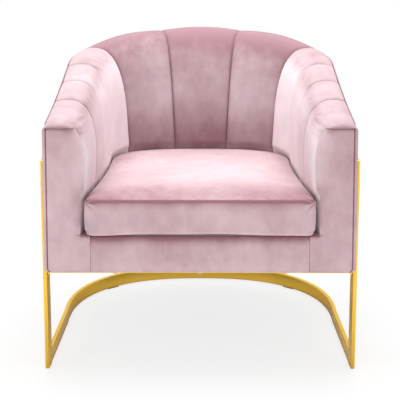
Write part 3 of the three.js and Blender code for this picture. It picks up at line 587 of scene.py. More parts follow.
def seat_share(share):
    """A smooth curve through the seams' places. Each piece is a cubic that takes its slopes from the
    neighbours."""
    along = np.clip(folded(share), 0, 1)
    xs, ys = rim_seam_shares, seat_seam_shares
    number, last = np.arange(len(xs)), len(xs) - 1
    i = np.clip(np.searchsorted(xs, along) - 1, 0, last - 1)
    low, high = np.maximum(number - 1, 0), np.minimum(number + 1, last)
    slope = (ys[high] - ys[low]) / (xs[high] - xs[low])
    width = xs[i + 1] - xs[i]
    u = (along - xs[i]) / width
    seat = (ys[i] + (ys[i + 1] - ys[i]) * u * u * (3 - 2 * u)
            + u * (1 - u) ** 2 * width * slope[i] + u * u * (u - 1) * width * slope[i + 1])
    return np.where(np.asarray(share) > 1, 2 - seat, seat)


def wall_point(share, t):
    """The wall's face. t runs down the section: a straight line to the flat's end, a curve with one
    control point round the crest, a straight line to the seat's line, and down to the foot."""
    share, t = np.broadcast_arrays(np.asarray(share, float), np.asarray(t, float))
    seat, rim = seat_share(share), rim_at(share)
    outer = raised(plan_xy(pad_plan, share), rim)
    crest = raised(plan_xy(crest_plan, share + (seat - share) * crest_blend_share), rim)
    line = raised(plan_xy(wall_plan(0), seat), wall_line_height)
    foot = line * [1, 1, 0] + [0, 0, pad_foot]
    start = lerp(crest, outer, np.minimum(crest_flat / length(outer - crest), crest_limit_share))
    stop = lerp(crest, line, np.minimum(crest_drop / length(line - crest), crest_limit_share))
    u = np.clip((t - flat_end_share) / (round_end_share - flat_end_share), 0, 1)
    bend = lerp(lerp(start, crest, u), lerp(crest, stop, u), u)
    flat = lerp(outer, start, np.clip(t / flat_end_share, 0, 1))
    fall = np.clip((t - round_end_share) / (straight_end_share - round_end_share), 0, 1)
    sink = np.clip((t - straight_end_share) / (1 - straight_end_share), 0, 1)
    point = np.where((t < flat_end_share)[..., None], flat, bend)
    point = np.where((t > round_end_share)[..., None], lerp(stop, line, fall), point)
    return np.where((t > straight_end_share)[..., None], lerp(line, foot, sink), point)


normal_step = 0.004


def wall_normal(share, t):
    """The direction out of the wall, square to its section line, in the section's own plane."""
    inward = wall_point(share, flat_end_share) - wall_point(share, 0)
    inward = inward * [1, 1, 0]
    inward = inward / length(inward)[..., None]
    lower, upper = np.minimum(t + normal_step, 1), np.maximum(t - normal_step, 0)
    down = wall_point(share, lower) - wall_point(share, upper)
    out = inward * -down[..., 2:] + np.array([0, 0, 1.0]) * (down * inward).sum(-1)[..., None]
    return out / length(out)[..., None]


middle = wall_point(np.ones(1), np.array([straight_end_share]))[0]
print("the wall's line in the middle of the back:", middle.round(3))

# %% [markdown]
# ## The channels
# Each channel is a padded panel of velvet, nearly flat between its two seams, with a soft arc over
# it and a narrow rounding beside the stitching. Because each one spans straight from seam to seam,
# the wall turns in small steps, and light and dark panels meet sharply at the seams. Stitching
# gathers the velvet a little, which a fine ripple gives. It is strongest at the seam and dies out
# within a couple of centimetres.
#
# Two edges need their own shape. At the arm's end the first channel rolls round into the arm's
# front panel, like a quarter of an ellipse, and on top it reaches forward as a lip over that panel.

# %% Shape a channel's face
arc_crown, edge_crown, edge_reach = 0.0055, 0.0055, 0.004
flat_share = 0.85
rim_fullness_share, full_share = 0.35, 0.14
hidden_level, shown_level = 0.438, 0.466
seam_gap = 0.0007
pucker_depth, pucker_reach = 0.0009, 0.009
arm_roll_wide, arm_roll_deep, arm_roll_back = 0.034, 0.040, 0.025
arm_roll_from, arm_roll_full = 0.20, 0.42
wave_lengths, wave_weights = np.array([0.015, 0.027, 0.053]), np.array([0.45, 0.35, 0.2])
wave_shifts = np.array([1.0, 2.3, 4.1])


def ripple(distance, seed):
    """A smooth uneven wave between -1 and 1: three sines of unlike lengths, shifted by the seed."""
    along = 2 * math.pi * np.asarray(distance)[..., None]
    return (np.sin(along / wave_lengths + seed * wave_shifts) * wave_weights).sum(-1)


def fullness(t, height):
    """How full a channel is: it grows from the rim, and dies out behind the cushion."""
    rise = rim_fullness_share + (1 - rim_fullness_share) * smooth(t, 0, full_share)
    return rise * smooth(height, hidden_level, shown_level)


def arm_roll(back, t):
    """How far the arm's inner face is drawn out near its front: one minus the root of one minus the
    square, a quarter of an ellipse that ends arm_roll_back behind the front plane."""
    left = np.clip((arm_roll_back - back) / arm_roll_deep, 0, 1)
    return arm_roll_wide * (1 - np.sqrt(1 - left ** 2)) * smooth(t, arm_roll_from, arm_roll_full)


def channel_depth(u, seam_distance, t, base, flat, at_front):
    """How far a face stands out from the wall: the flat part, an arc 4u(1-u) and the rounding."""
    rounding = edge_crown * (1 - np.exp(-seam_distance / edge_reach))
    face = flat + arc_crown * 4 * u * (1 - u) + rounding
    full = fullness(t, base[..., 2])
    if at_front:
        held = np.where(u < 0.5, arc_crown + edge_crown, face)
        return held * full - arm_roll(base[..., 1], t)
    return face * full


# %% Make a channel's front and back grids
roll_radius = 0.007
channel_columns, channel_rows, roll_rows = 41, 120, 14
roll_end, face_begin = 0.03, 0.036
pucker_slant, pucker_clear = 1.4, 0.003
lip_columns, lip_reach, lip_height = 14, 0.0180, 0.0050
lip_round, lip_edge, lip_power, lip_end = 0.050, 0.0012, 1.4, 0.6
lip_cloth = 0.0005
panel_top = rim_front - lip_height


def roll_over(distance, radius):
    """The drop of a quarter circle at a distance from its edge."""
    short = np.clip(radius - distance, 0, radius)
    return radius - np.sqrt(radius ** 2 - short ** 2)


def reach_over(face, back, lip, t):
    """Draws the first channel's top forward over the arm's panel. Its front edge goes down by a
    quarter ellipse, and its back lies just over the panel. With them goes the edge's shade."""
    over = np.clip((face[:, :1, 2] - panel_top) / lip_height, 0, 1) * (t[:, :1] < lip_end)
    begun = smooth(over, 0, 0.5)
    reach = lip_reach * begun
    ahead = reach * lip[None, :]
    from_edge = np.clip(1 - (reach - ahead + face[..., 1]) / lip_round, 0, 1)
    drop = np.maximum(face[..., 2] - panel_top - lip_edge, 0)
    sink = drop * (1 - np.sqrt(1 - from_edge ** 2)) * smooth(over, 0, 0.8)
    face = face - np.stack([np.zeros_like(sink), ahead, sink], -1)
    under = np.minimum(panel_top + fit_gap, face[..., 2] - lip_cloth)
    in_lip = (lip[None, :] > 0) & (over > 0)
    back = np.where(in_lip[..., None], raised(face[..., :2], under), back)
    return face, back, lip_shade * from_edge ** 3 * begun


def channel_grids(start, end, at_front, seed, tones):
    """The front and back grids of a channel of the right half, between two seams, and its painted
    light and shade.
    """
    spread = ease(channel_columns)
    lip = np.zeros(channel_columns)
    if at_front:
        spread = np.concatenate([np.zeros(lip_columns), spread])
        lip = np.concatenate([np.linspace(1, 0, lip_columns, endpoint=False) ** lip_power, lip])
    t = np.concatenate([np.linspace(0, roll_end, roll_rows),
                        np.linspace(face_begin, 1, channel_rows)])[:, None]
    width = length(wall_point(start, t) - wall_point(end, t))
    edge = seam_gap / 2 / width
    share = start + (end - start) * (edge + spread[None, :] * (1 - 2 * edge))
    t = np.broadcast_to(t, share.shape)
    u = np.broadcast_to(spread, share.shape)
    base, out = wall_point(share, t), wall_normal(share, t)
    chord = lerp(wall_point(start, t), wall_point(end, t), (share - start) / (end - start))
    flat = flat_share * np.maximum(((chord - base) * out).sum(-1), 0)
    seam_distance = np.minimum(u, 1 - u) * width
    depth = channel_depth(u, seam_distance, t, base, flat, at_front)
    wave = ripple(base[..., 2] * pucker_slant - base[..., 1], seed)
    wave = wave * smooth(seam_distance, 0, pucker_clear)
    depth = depth + pucker_depth * np.exp(-seam_distance / pucker_reach) * wave
    face = base + out * depth[..., None]
    from_rim = length((base - wall_point(share, 0)) * [1, 1, 0])
    face[..., 2] -= roll_over(from_rim, roll_radius)
    back = base - out * pad_thickness
    face[..., 1], back[..., 1] = np.maximum(face[..., 1], 0), np.maximum(back[..., 1], 0)
    if not at_front:
        return face, back, channel_shading(t, face[..., 2], seam_distance, seed, *tones)
    face, back, shade = reach_over(face, back, lip, t)
    seam_distance = np.where(u < 0.5, no_seam, seam_distance)
    shading_and_tone = channel_shading(t, face[..., 2], seam_distance, seed, *tones)
    # Painted light along the roll, and the painted shade under the lip taken off.
    shading_and_tone += roll_light * bell(u * width, roll_light_width) * smooth(t, *roll_light_shares)
    return face, back, shading_and_tone - shade


# %% [markdown]
# The velvet's colour is painted lighter and darker over the channels. The back's crest and its foot
# behind the cushion get painted shade, and the faces of the third and fourth side channels painted
# light. A darker, uneven band runs where the side channels turn down. Each channel gets its own
# tones, as numbers that its points carry and the velvet reads.

# %% Brush the channels' pile
# Painted light and shade for each channel: the back channels are painted darker on the crest and at
# the foot, the faces of the third and fourth side channels lighter, and the side channels darker in a
# band where they turn down.
channel_tones = np.array([  # tones of the crest, the face, the shoulder and the foot, then the turn
    (0.02, -0.02, -0.30, 0.0, 0.45), (0.04, -0.02, -0.34, 0.0, 0.45),
    (0.03, 0.13, -0.36, 0.0, 0.45), (-0.06, 0.40, -0.40, 0.0, 0.45),
    (-0.42, -0.03, 0.0, -0.42, 0.75), (-0.44, -0.15, 0.0, -0.44, 0.80)])
# Both sides get painted shade on the crest and painted light on the face, the right side more.
side_shift = {1: np.array([-0.14, 0.12, 0.0, 0.0, 0.0]), -1: np.array([-0.06, 0.05, 0.0, 0.0, 0.0])}
turn_from = 0.22
shoulder_share, shoulder_width_share, shoulder_shift = 0.35, 0.05, 0.02
foot_level, face_level = 0.470, 0.600
# Painted light on the faces that the cushion hides, where shade falls.
tucked_level, free_level, tucked_light = 0.435, 0.462, 0.25
# Painted shade: a dark line along each seam.
channel_seam_shade, channel_seam_width = -0.30, 0.0022
# Painted light along the first channel's roll into the arm panel.
roll_light, roll_light_width, roll_light_shares = 0.30, 0.020, (0.36, 0.46)
# Painted shade under the front edge of the lip.
lip_shade = 0.30
no_seam = 0.5


def channel_shading(t, height, seam_distance, seed, crest, face, shoulder, foot, turn):
    """A channel's painted light and shade: one tone on the crest going over into one on the face, a
    darker uneven band between them, a tone towards the foot, painted shade at the seams, and painted
    light where the cushion hides it."""
    turned = smooth(t, turn_from, turn)
    band_wave = 0.6 + 0.5 * ripple(height * 1.1 + seam_distance * 2, seed + 5.0)
    centre = shoulder_share + shoulder_shift * ripple(seam_distance * 1.5, seed + 2.0)
    band = bell(t - centre, shoulder_width_share) * band_wave
    low = 1 - smooth(height, foot_level, face_level)
    tucked = 1 - smooth(height, tucked_level, free_level)
    seam = channel_seam_shade * np.exp(-seam_distance / channel_seam_width)
    return (crest * (1 - turned) + face * turned + shoulder * band + foot * low + seam
            + tucked_light * tucked)


# %% Make the eleven channels
seams = [*rim_seam_shares[:-1], 2 - rim_seam_shares[-2]]
right_names = ["right_1", "right_2", "right_3", "right_4", "back_1", "back_2"]
left_names = ["left_1", "left_2", "left_3", "left_4", "back_3"]
for side, shift, names in ((1, 0, right_names), (-1, 10, left_names)):
    for number, name in enumerate(names):
        tones = channel_tones[number] + side_shift[side]
        front, back, shading_and_tone = channel_grids(seams[number], seams[number + 1], number == 0,
                                         number + shift, tones)
        piece = slab_object("pad_channel_" + name, front, back, shading_and_tone, side)
        dress(piece, velvet, ["channel_" + name])

# %% [markdown]
# ## The outside cover
# One cloth goes round the sides and the back. It is drawn tight over the shell, so it is smooth,
# but the wadding under it lets it swell a little between the underside, the band and the rim. In
# front of the uprights and behind the band it has to stay flat, because the metal lies against it.

# %% Make the outside cover
cover_columns, cover_rows = 321, 90
lower_swell, upper_swell, back_swell = 0.0022, 0.0035, 0.0008
swell_power, side_full, side_ends, back_begins = 0.7, 0.3, (0.38, 0.55), (0.5, 0.7)
over_band, past_uprights = 0.35, 0.04
cover_roll, cover_drop, front_drop, front_drop_depth = 0.0028, 0.0045, 0.0035, 0.015
slope_step = 0.002
welt_radius, welt_inset, welt_sink = 0.0017, 0.0127, 0.0022


def cover_swell(share, height):
    """How far the cover stands out: a low arch under the band, a fuller one from it to the rim."""
    low = np.clip((height - body_foot) / (band_low - body_foot), 0, 1)
    high = np.clip((height - band_high) / (rim_at(share) - band_high), 0, 1)
    arch = lower_swell * np.sin(low * math.pi) ** swell_power
    from_front = folded(share)
    on_sides = upper_swell * smooth(from_front, 0, side_full) * (1 - smooth(from_front, *side_ends))
    bulge = (on_sides + back_swell * smooth(from_front, *back_begins)) * smooth(high, 0, over_band)
    behind_uprights = smooth(from_front, upright_share, upright_share + past_uprights)
    return np.where(height < band_high, arch * behind_uprights, bulge)


def cover_surface(depth, outer):
    """The cover's grid at a depth from its outside: the U moved in, with its swell moved out."""
    share = np.linspace(0, 2, cover_columns)[None, :]
    rows = np.linspace(0, 1, cover_rows)[:, None]
    in_front = 1 - smooth(plan_point(pad_plan, share)[1], 0, front_drop_depth)
    top = rim_at(share) - cover_drop - front_drop * in_front
    height = body_foot + (top - body_foot) * rows
    share = np.broadcast_to(share, height.shape)
    tuck = roll_over(np.minimum(height - body_foot, top - height), cover_roll)
    out = cover_swell(share, height) - (tuck if outer else 0)
    ahead = plan_xy(u_plan(depth), np.minimum(share + slope_step, 2))
    behind = plan_xy(u_plan(depth), np.maximum(share - slope_step, 0))
    along = ahead - behind
    normal = np.stack([along[..., 1], -along[..., 0]], -1) / length(along)[..., None]
    return raised(plan_xy(u_plan(depth), share) + normal * out[..., None], height)


cover = slab(cover_surface(cover_inset, True), cover_surface(cover_inset + cover_thickness, False))
dress(new_object("outside_cover_cloth", *cover), outside_velvet, ["outside_cover"])

# %% [markdown]
# ## The front panels
# Each arm ends in a padded panel, and a low one lies across under the cushion. A panel is worked
# out from its outline: a point's depth depends on how far it is from the nearest edge, round near
# the edge and gently crowned further in. Each stretch of the outline has its own edge radius: broad
# where the arm panel rolls over into the first channel, and small where two panels are sewn
# together.

# %% Work out a panel's depth from its outline
panel_depth = 0.0147
panel_pillow, pillow_reach = 0.0018, 0.03
seam_radius, edge_radius, top_radius = 0.0015, 0.0045, 0.011
arm_roll_reach = arm_roll_wide * math.sqrt(1 - (arm_roll_back / arm_roll_deep) ** 2)


def panel_stand(x, z, outline, radius, roll):
    """How far a panel stands out. Each outline point allows a quarter circle of its radius, or, where
    roll is 1, the ellipse that goes on into the first channel. The least of what they allow counts."""
    gap = np.hypot(x[..., None] - outline[:, 0], z[..., None] - outline[:, 1])
    round_edge = panel_depth - roll_over(gap, radius)
    left = np.clip(arm_roll_reach - gap, 0, None) / arm_roll_wide
    rolled = arm_roll_deep * np.sqrt(1 - left ** 2) - arm_roll_back - fit_gap
    allowed = round_edge + (rolled - round_edge) * roll
    return allowed.min(-1) + panel_pillow * (1 - np.exp(-gap.min(-1) / pillow_reach))


outline_step = 0.0025


def dense(points):
    """Points with more put in between, so that the nearest one is never far."""
    points = np.asarray(points, float)
    at = np.concatenate([[0], np.cumsum(length(np.diff(points, axis=0)))])
    fine = np.arange(0, at[-1], outline_step)
    return np.stack([np.interp(fine, at, points[:, k]) for k in (0, 1)], -1)


# %% Shape the arms' front panels
panel_outer_foot, panel_outer_top = half_width - 0.0049, half_width - 0.0080
panel_seam = wall_plan(0)["front"] - 0.0202
panel_foot = body_foot - 0.0035
shelf_radius, shelf_level_gap = 0.0105, 0.0012
panel_corner, panel_shoulder = 0.012, 0.006
roll_begins = 0.03
welt_in, welt_depth, welt_width = 0.0085, 0.0030, 0.0011
panel_columns, panel_rows, edge_steps, edge_top_share = 110, 190, 240, 0.1
cushion_bottom, cushion_height = deck_top + fit_gap, 0.087
seam_height = cushion_bottom + cushion_height


def arm_inner_edge():
    """The arm panel's inner edge from the foot up. It follows the first channel's face in front."""
    t = np.linspace(straight_end_share, edge_top_share, edge_steps)
    base, out = wall_point(0.0, t), wall_normal(0.0, t)
    at_seam = np.zeros(len(t))
    depth = channel_depth(at_seam, at_seam, t, base, 0, True)
    curve = (base + out * depth[:, None])[:, [0, 2]]
    curve = curve[(curve[:, 1] < panel_top) & (t > flat_end_share)]
    low = [[panel_seam, panel_foot], [panel_seam, deck_top - fit_gap], [curve[0, 0], deck_top]]
    return np.concatenate([low, curve])


def arm_outer_edge(z):
    """The outer edge at a height: it leans in a little and has round corners at both ends."""
    up = z - panel_foot
    x = panel_outer_foot + (panel_outer_top - panel_outer_foot) * up / (panel_top - panel_foot)
    return x - roll_over(up, panel_corner) - roll_over(panel_top - z, panel_shoulder)


# %% Make the arms' front panels
# Painted shade in the welt's groove, on the shelf, at the top and under the lip's end; painted light
# at the foot, along the inner edge above the cushion and beside it.
welt_shade, shelf_shade, under_lip_shade, panel_foot_light = -0.5, -0.5, -0.10, 0.06
lip_shadow_tone, lip_shadow_x = -0.24, 0.316
inner_light, cushion_side_light = 0.30, 0.1


def arm_shading(x, z, from_inner, in_welt, shelf_end):
    """The arm panel's painted light and shade: darker at its top, under the lip's end, in the welt's
    groove and on the shelf beside the deck, lighter at its foot, along its inner edge above the
    cushion and beside the cushion."""
    from_top = panel_top - z
    beside_cushion = (smooth(z, deck_top, deck_top + 0.01)
                      * (1 - smooth(z, seam_height, seam_height + 0.03)))
    above_cushion = smooth(z, seam_height + 0.02, seam_height + 0.07)
    on_shelf = np.exp(-((z - deck_top) / 0.005) ** 2 - (np.maximum(x - shelf_end, 0) / 0.001) ** 2)
    lip_shadow = np.exp(-((x - lip_shadow_x) / 0.020) ** 2 - (from_top / 0.014) ** 2)
    return (under_lip_shade * np.exp(-from_top / 0.03) + welt_shade * in_welt
            + panel_foot_light * (1 - smooth(z, 0.27, 0.36))
            + lip_shadow_tone * lip_shadow + shelf_shade * on_shelf
            + inner_light * np.exp(-from_inner / 0.018) * above_cushion
            + cushion_side_light * np.exp(-from_inner / 0.005) * beside_cushion)


def arm_panel():
    """The right arm panel's grids. Columns run from the inner to the outer edge at each height."""
    inner = arm_inner_edge()
    z = panel_foot + (panel_top - panel_foot) * ease(panel_rows)
    order = np.argsort(inner[:, 1], kind="stable")
    x_in, x_out = np.interp(z, inner[order, 1], inner[order, 0]), arm_outer_edge(z)
    x = x_in[:, None] + (x_out - x_in)[:, None] * ease(panel_columns)[None, :]
    z = np.broadcast_to(z[:, None], x.shape)
    lines = ((dense(np.stack([x_in, z[:, 0]], -1)), seam_radius),
             (dense([[x_in[-1], panel_top], [x_out[-1], panel_top]]), top_radius),
             (dense(np.stack([x_out, z[:, 0]], -1)), edge_radius),
             (dense([[x_in[0], panel_foot], [x_out[0], panel_foot]]), edge_radius))
    outline = np.concatenate([line for line, _ in lines])
    radius = np.concatenate([np.full(len(line), size) for line, size in lines])
    at_shelf = np.abs(outline[:, 1] - deck_top) < shelf_level_gap
    radius[at_shelf & (outline[:, 0] < inner[:, 0].max())] = shelf_radius
    roll = np.zeros(len(outline))
    inner_line = lines[0][0]
    roll[:len(inner_line)] = smooth(inner_line[:, 1], deck_top, deck_top + roll_begins)
    in_welt = bell(x_out[:, None] - welt_in - x, welt_width)
    stand = panel_stand(x, z, outline, radius, roll) - welt_depth * in_welt
    shading_and_tone = arm_shading(x, z, x - x_in[:, None], in_welt, inner[3, 0])
    front = np.stack([x, -fit_gap - stand, z], -1)
    return front, np.stack([x, np.full(x.shape, -fit_gap), z], -1), shading_and_tone


front, back, shading_and_tone = arm_panel()
# The right panel gets a little painted shade and the left one a little painted light.
for side, name, tone in ((1, "arm_front_right", -0.08), (-1, "arm_front_left", 0.03)):
    piece = slab_object("panel_" + name, front, back, shading_and_tone + tone, side)
    dress(piece, shaded_front_velvet, [name])

# %% Make the panel under the cushion
front_half = panel_seam - seam_gap
front_top = deck_top - 0.0040
low_columns, low_rows = 140, 40
low_x, low_z = np.meshgrid(-front_half + 2 * front_half * ease(low_columns),
                           panel_foot + (front_top - panel_foot) * ease(low_rows))
low_outline = dense([[-front_half, panel_foot], [front_half, panel_foot], [front_half, front_top],
                     [-front_half, front_top], [-front_half, panel_foot]])
at_seam = np.abs(np.abs(low_outline[:, 0]) - front_half) < 0.001
at_top = low_outline[:, 1] > front_top - 0.001
low_radius = np.where(at_top, shelf_radius, np.where(at_seam, seam_radius, edge_radius))
low_stand = panel_stand(low_x, low_z, low_outline, low_radius, 0)
# A band of painted shadow under the cushion's front, and painted light at the foot.
low_shading = -0.02 - 0.42 * bell(front_top - low_z, 0.015) + panel_foot_light * (1 - smooth(low_z, 0.27, 0.30))
low_panel = slab_object("panel_under_cushion", np.stack([low_x, -fit_gap - low_stand, low_z], -1),
                        np.stack([low_x, np.full(low_x.shape, -fit_gap), low_z], -1), low_shading)
dress(low_panel, shaded_front_velvet, ["front_panel"])

# %% [markdown]
# A welt, a thin cord in its own strip of velvet, is sewn in where the outside cover meets the
# channels and the arm panels. Its velvet is made much darker than the rest: painted shade for the
# groove that it lies in.

# %% Lay the welt
climb_steps, over_steps, rim_steps = 70, 12, 240
welt_start, welt_proud, welt_foot_gap = 0.014, 0.0010, 0.002
cord_sides = 12


def right_welt():
    """The welt's path on the right: up the arm panel's groove, over its top edge by a quarter circle,
    and along the rim to the middle of the back. With it goes the direction out of the chair."""
    climb = np.linspace(panel_foot + welt_foot_gap, panel_top - top_radius, climb_steps)
    face = -fit_gap - panel_depth + welt_proud
    up = np.stack([arm_outer_edge(climb) - welt_in, np.full(climb_steps, face), climb], -1)
    turn = np.linspace(0, quarter_turn, over_steps)[1:]
    over = np.stack([np.full(over_steps - 1, up[-1, 0]), face + top_radius * (1 - np.cos(turn)),
                     panel_top - top_radius * (1 - np.sin(turn))], -1)
    share = np.linspace(share_back(welt_start), 1, rim_steps)
    along = raised(plan_xy(u_plan(welt_inset), share), rim_at(share) - welt_sink)
    way = np.gradient(along[:, :2], axis=0)
    out = np.stack([way[:, 1], -way[:, 0], np.zeros(len(way))], -1) / length(way)[:, None]
    front_out = np.tile([1.0, 0, 0], (len(up) + len(over), 1))
    return np.concatenate([up, over, along]), np.concatenate([front_out, out])


def cord_grid(path, out, radius):
    """A circle carried along a path, set square to it, between the way out and the way across."""
    way = np.gradient(path, axis=0)
    way = way / length(way)[:, None]
    across = np.cross(way, out)
    across = across / length(across)[:, None]
    square = np.cross(across, way)
    angle = np.linspace(0, 2 * math.pi, cord_sides, endpoint=False)[None, :, None]
    turned = np.cos(angle) * square[:, None] + np.sin(angle) * across[:, None]
    return path[:, None] + radius * turned


path, out = (np.concatenate([half, half[-2::-1] * [-1, 1, 1]]) for half in right_welt())
dress(new_object("rim_welt", *tube(cord_grid(path, out, welt_radius))), shaded_welt_velvet, [])

# %% [markdown]
# ## The seat cushion
# The loose cushion is a box cushion: a top, a bottom and a boxing sewn between them. Its outline
# follows the wall, with round front corners. Rings run from the middle of the underside out, up the
# boxing and in over the top. They lie close together at the two seams, where the cover is drawn in.

# %% Work out the cushion's outline
cushion_front, cushion_inset, cushion_corner = 0.022, 0.0055, 0.021
front_bow = 0.0015
front_step, back_step, coarse_from = 0.0020, 0.0055, 0.12
outline_points, measuring_points = 620, 4000


def cushion_outline(inset):
    """The cushion seen from above: the wall's U, two round corners, and a front bowed by a half sine.
    Points lie closer together in front, where the seams show their gathers."""
    plan = wall_plan(cushion_inset + inset)
    r = cushion_corner
    face = -cushion_front + inset
    angle = np.linspace(-quarter_turn, 0, 25)
    corner = np.stack([plan["front"] - r + r * np.cos(angle), face + r + r * np.sin(angle)], -1)
    sides = plan_xy(plan, np.linspace(0, 2, 600))
    u = np.linspace(0, 1, 60)[1:-1]
    bow = front_bow * np.sin(u * math.pi)
    front = np.stack([(2 * u - 1) * (plan["front"] - r), face - bow], -1)
    loop = np.concatenate([corner, sides, corner[::-1] * [-1, 1], front, corner[:1]])
    at = np.concatenate([[0], np.cumsum(length(np.diff(loop, axis=0)))])
    fine = np.linspace(0, at[-1], measuring_points)
    y = np.interp(fine, at, loop[:, 1])
    step = front_step + (back_step - front_step) * smooth(y, 0.0, coarse_from)
    count = np.concatenate([[0], np.cumsum(np.diff(fine) / step[1:])])
    even = np.interp(np.linspace(0, count[-1], outline_points, endpoint=False), count, fine)
    return np.stack([np.interp(even, at, loop[:, k]) for k in (0, 1)], -1)


print("cushion outline:", len(cushion_outline(0)), "points")

# %% [markdown]
# The crown over the top is the root of one minus the share to the sixth, so it rises steeply from
# the seam and is nearly flat in the middle. The boxing swells by a half sine and is drawn in at
# both seams.

# %% Work out the cushion's rings
seam_draw, seam_width = 0.0042, 0.0036
boxing_swell, wall_press, press_from, press_full = 0.0020, 0.85, 0.005, 0.035
low_rings, box_rings, top_rings = 22, 31, 54
low_crowding, low_reach, top_crowding, crown_power = 1.6, 0.97, 1.8, 6
underside_seam = 0.005


def cushion_rings(inset, crown):
    """The cushion's grid: for each ring the share out from the middle, the rise and the swell."""
    outline = cushion_outline(inset)
    centre = outline.mean(0)
    out = outline - centre
    direction = out / length(out)[:, None]
    height = cushion_height - 2 * inset
    low_share = 1 - np.linspace(1, 0, low_rings) ** low_crowding * low_reach
    box = ease(box_rings)
    top_share = 1 - np.linspace(0, 1, top_rings)[1:-1] ** top_crowding
    share = np.concatenate([low_share[:-1], np.ones(box_rings), top_share])
    no_rise, no_foot = np.zeros(low_rings - 1), np.zeros(top_rings - 2)
    top_rise = height + crown * np.sqrt(1 - top_share ** crown_power)
    rise = np.concatenate([no_rise, box * height, top_rise])
    from_seam = np.minimum(np.abs(box * height - underside_seam), (1 - box) * height)
    drawn = boxing_swell * (np.sin(box * math.pi) - 1) - seam_draw * bell(from_seam, seam_width)
    drawn = np.concatenate([no_rise, drawn, no_foot + drawn[-1]])
    box_foot = roll_over(box * height, underside_seam)
    foot = np.concatenate([no_rise + underside_seam, box_foot, no_foot])
    against_wall = 1 - wall_press * smooth(outline[:, 1], press_from, press_full)
    swell = drawn[:, None] * against_wall[None] - foot[:, None]
    xy = centre + out[None] * share[:, None, None] + direction[None] * swell[..., None]
    return raised(xy, (cushion_bottom + inset + rise)[:, None])


# %% [markdown]
# ## Blowing up the cushion
# A real cover is filled until it is tight. Here a coarse copy of the cover is remeshed and given a
# cloth simulation with pressure and no gravity, with its seams and its underside held. The fine
# cover is bound to the coarse one by a Surface Deform modifier, so it takes the swelling and keeps
# its sharp seams. How far a point may move is capped, and both modifiers are gone afterwards.

# %% Blow up a cover with cloth and pressure
def mesh_points(mesh):
    """The places of a mesh's vertices as one array."""
    points = np.empty(len(mesh.vertices) * 3, np.float32)
    mesh.vertices.foreach_get("co", points)
    return points.reshape(-1, 3).astype(float)


def set_points(mesh, points):
    """Puts places into a mesh's vertices."""
    mesh.vertices.foreach_set("co", points.astype(np.float32).ravel())
    mesh.update()


def evaluated_mesh(piece):
    """A new mesh with all of the piece's modifiers applied."""
    graph = bpy.context.evaluated_depsgraph_get()
    return bpy.data.meshes.new_from_object(piece.evaluated_get(graph))


cloth_quality, cloth_mass, cloth_stretch, cloth_bend = 6, 0.25, 12, 0.6


def coarse_cloth(piece, held, voxel, pressure, frames):
    """A coarse copy of a closed cover as cloth, with pressure in it and no gravity. held says which
    of its points stay where they are."""
    coarse = link_object(piece.name + "_coarse", piece.data.copy())
    remesh = coarse.modifiers.new("remesh", "REMESH")
    remesh.mode, remesh.voxel_size = "VOXEL", voxel
    coarse.data = evaluated_mesh(coarse)
    coarse.modifiers.clear()
    weights = held(mesh_points(coarse.data))
    group = coarse.vertex_groups.new(name="held")
    group.add(np.flatnonzero(weights > 0.5).tolist(), 1.0, "REPLACE")
    cloth = coarse.modifiers.new("cloth", "CLOTH")
    rules = cloth.settings
    rules.quality, rules.mass, rules.bending_stiffness = cloth_quality, cloth_mass, cloth_bend
    rules.tension_stiffness = rules.compression_stiffness = cloth_stretch
    rules.use_pressure, rules.uniform_pressure_force = True, pressure
    rules.vertex_group_mass = "held"
    rules.effector_weights.gravity = 0
    cloth.point_cache.frame_start, cloth.point_cache.frame_end = 1, frames
    print("coarse points:", len(weights), "held:", int(weights.sum()))
    return coarse


def blow_up(piece, held, voxel, pressure, frames, side_cap, rise_cap):
    """Swells a closed cover: it follows its coarse copy for some frames, and its moves are capped."""
    scene = bpy.context.scene
    coarse = coarse_cloth(piece, held, voxel, pressure, frames)
    bind = piece.modifiers.new("follow", "SURFACE_DEFORM")
    bind.target = coarse
    scene.frame_set(1)
    with bpy.context.temp_override(object=piece, active_object=piece):
        bpy.ops.object.surfacedeform_bind(modifier="follow")
    print("bound:", bind.is_bound)
    start = mesh_points(piece.data)
    for number in range(1, frames + 1):
        scene.frame_set(number)
    moved = evaluated_mesh(piece)
    move = mesh_points(moved) - start
    scene.frame_set(1)
    bpy.data.meshes.remove(moved)
    piece.modifiers.clear()
    bpy.data.objects.remove(coarse)
    print("swelling before the cap: up to", round(float(length(move).max()) * 1000, 1), "mm")
    flat = length(move[:, :2])[:, None]
    move[:, :2] *= side_cap * np.tanh(flat / side_cap) / np.maximum(flat, 1e-9)
    move[:, 2] = rise_cap * np.tanh(move[:, 2] / rise_cap)
    set_points(piece.data, start + move)
    print("swelling kept: up to", round(float(length(move).max()) * 1000, 1), "mm")


# %% Make the cushion's cover and its foam
cushion_crown, slack_crown = 0.019, 0.0135
held_seam, held_underside, held_inset = 0.004, 0.008, 0.012


def polar(outline):
    """An outline as angles in rising order and the distances from its middle."""
    x, y = outline[:, 0], outline[:, 1] - outline.mean(0)[1]
    angle = np.arctan2(y, x)
    order = np.argsort(angle)
    return angle[order], np.hypot(x, y)[order]


def at_the_seams(points):
    """1 for points at the top seam or on the underside, which are held."""
    near_top_seam = np.abs(points[:, 2] - seam_height) < held_seam
    underside = points[:, 2] < cushion_bottom + held_underside
    outline = cushion_outline(held_inset)
    x, y = points[:, 0], points[:, 1] - front_plane - outline.mean(0)[1]
    outside = np.hypot(x, y) > np.interp(np.arctan2(y, x), *polar(outline))
    return ((near_top_seam & outside) | underside).astype(float)


corner_fold, corner_reach, fold_fan = 0.0030, 0.024, 9
fold_slant, fold_round = 0.6, 0.003


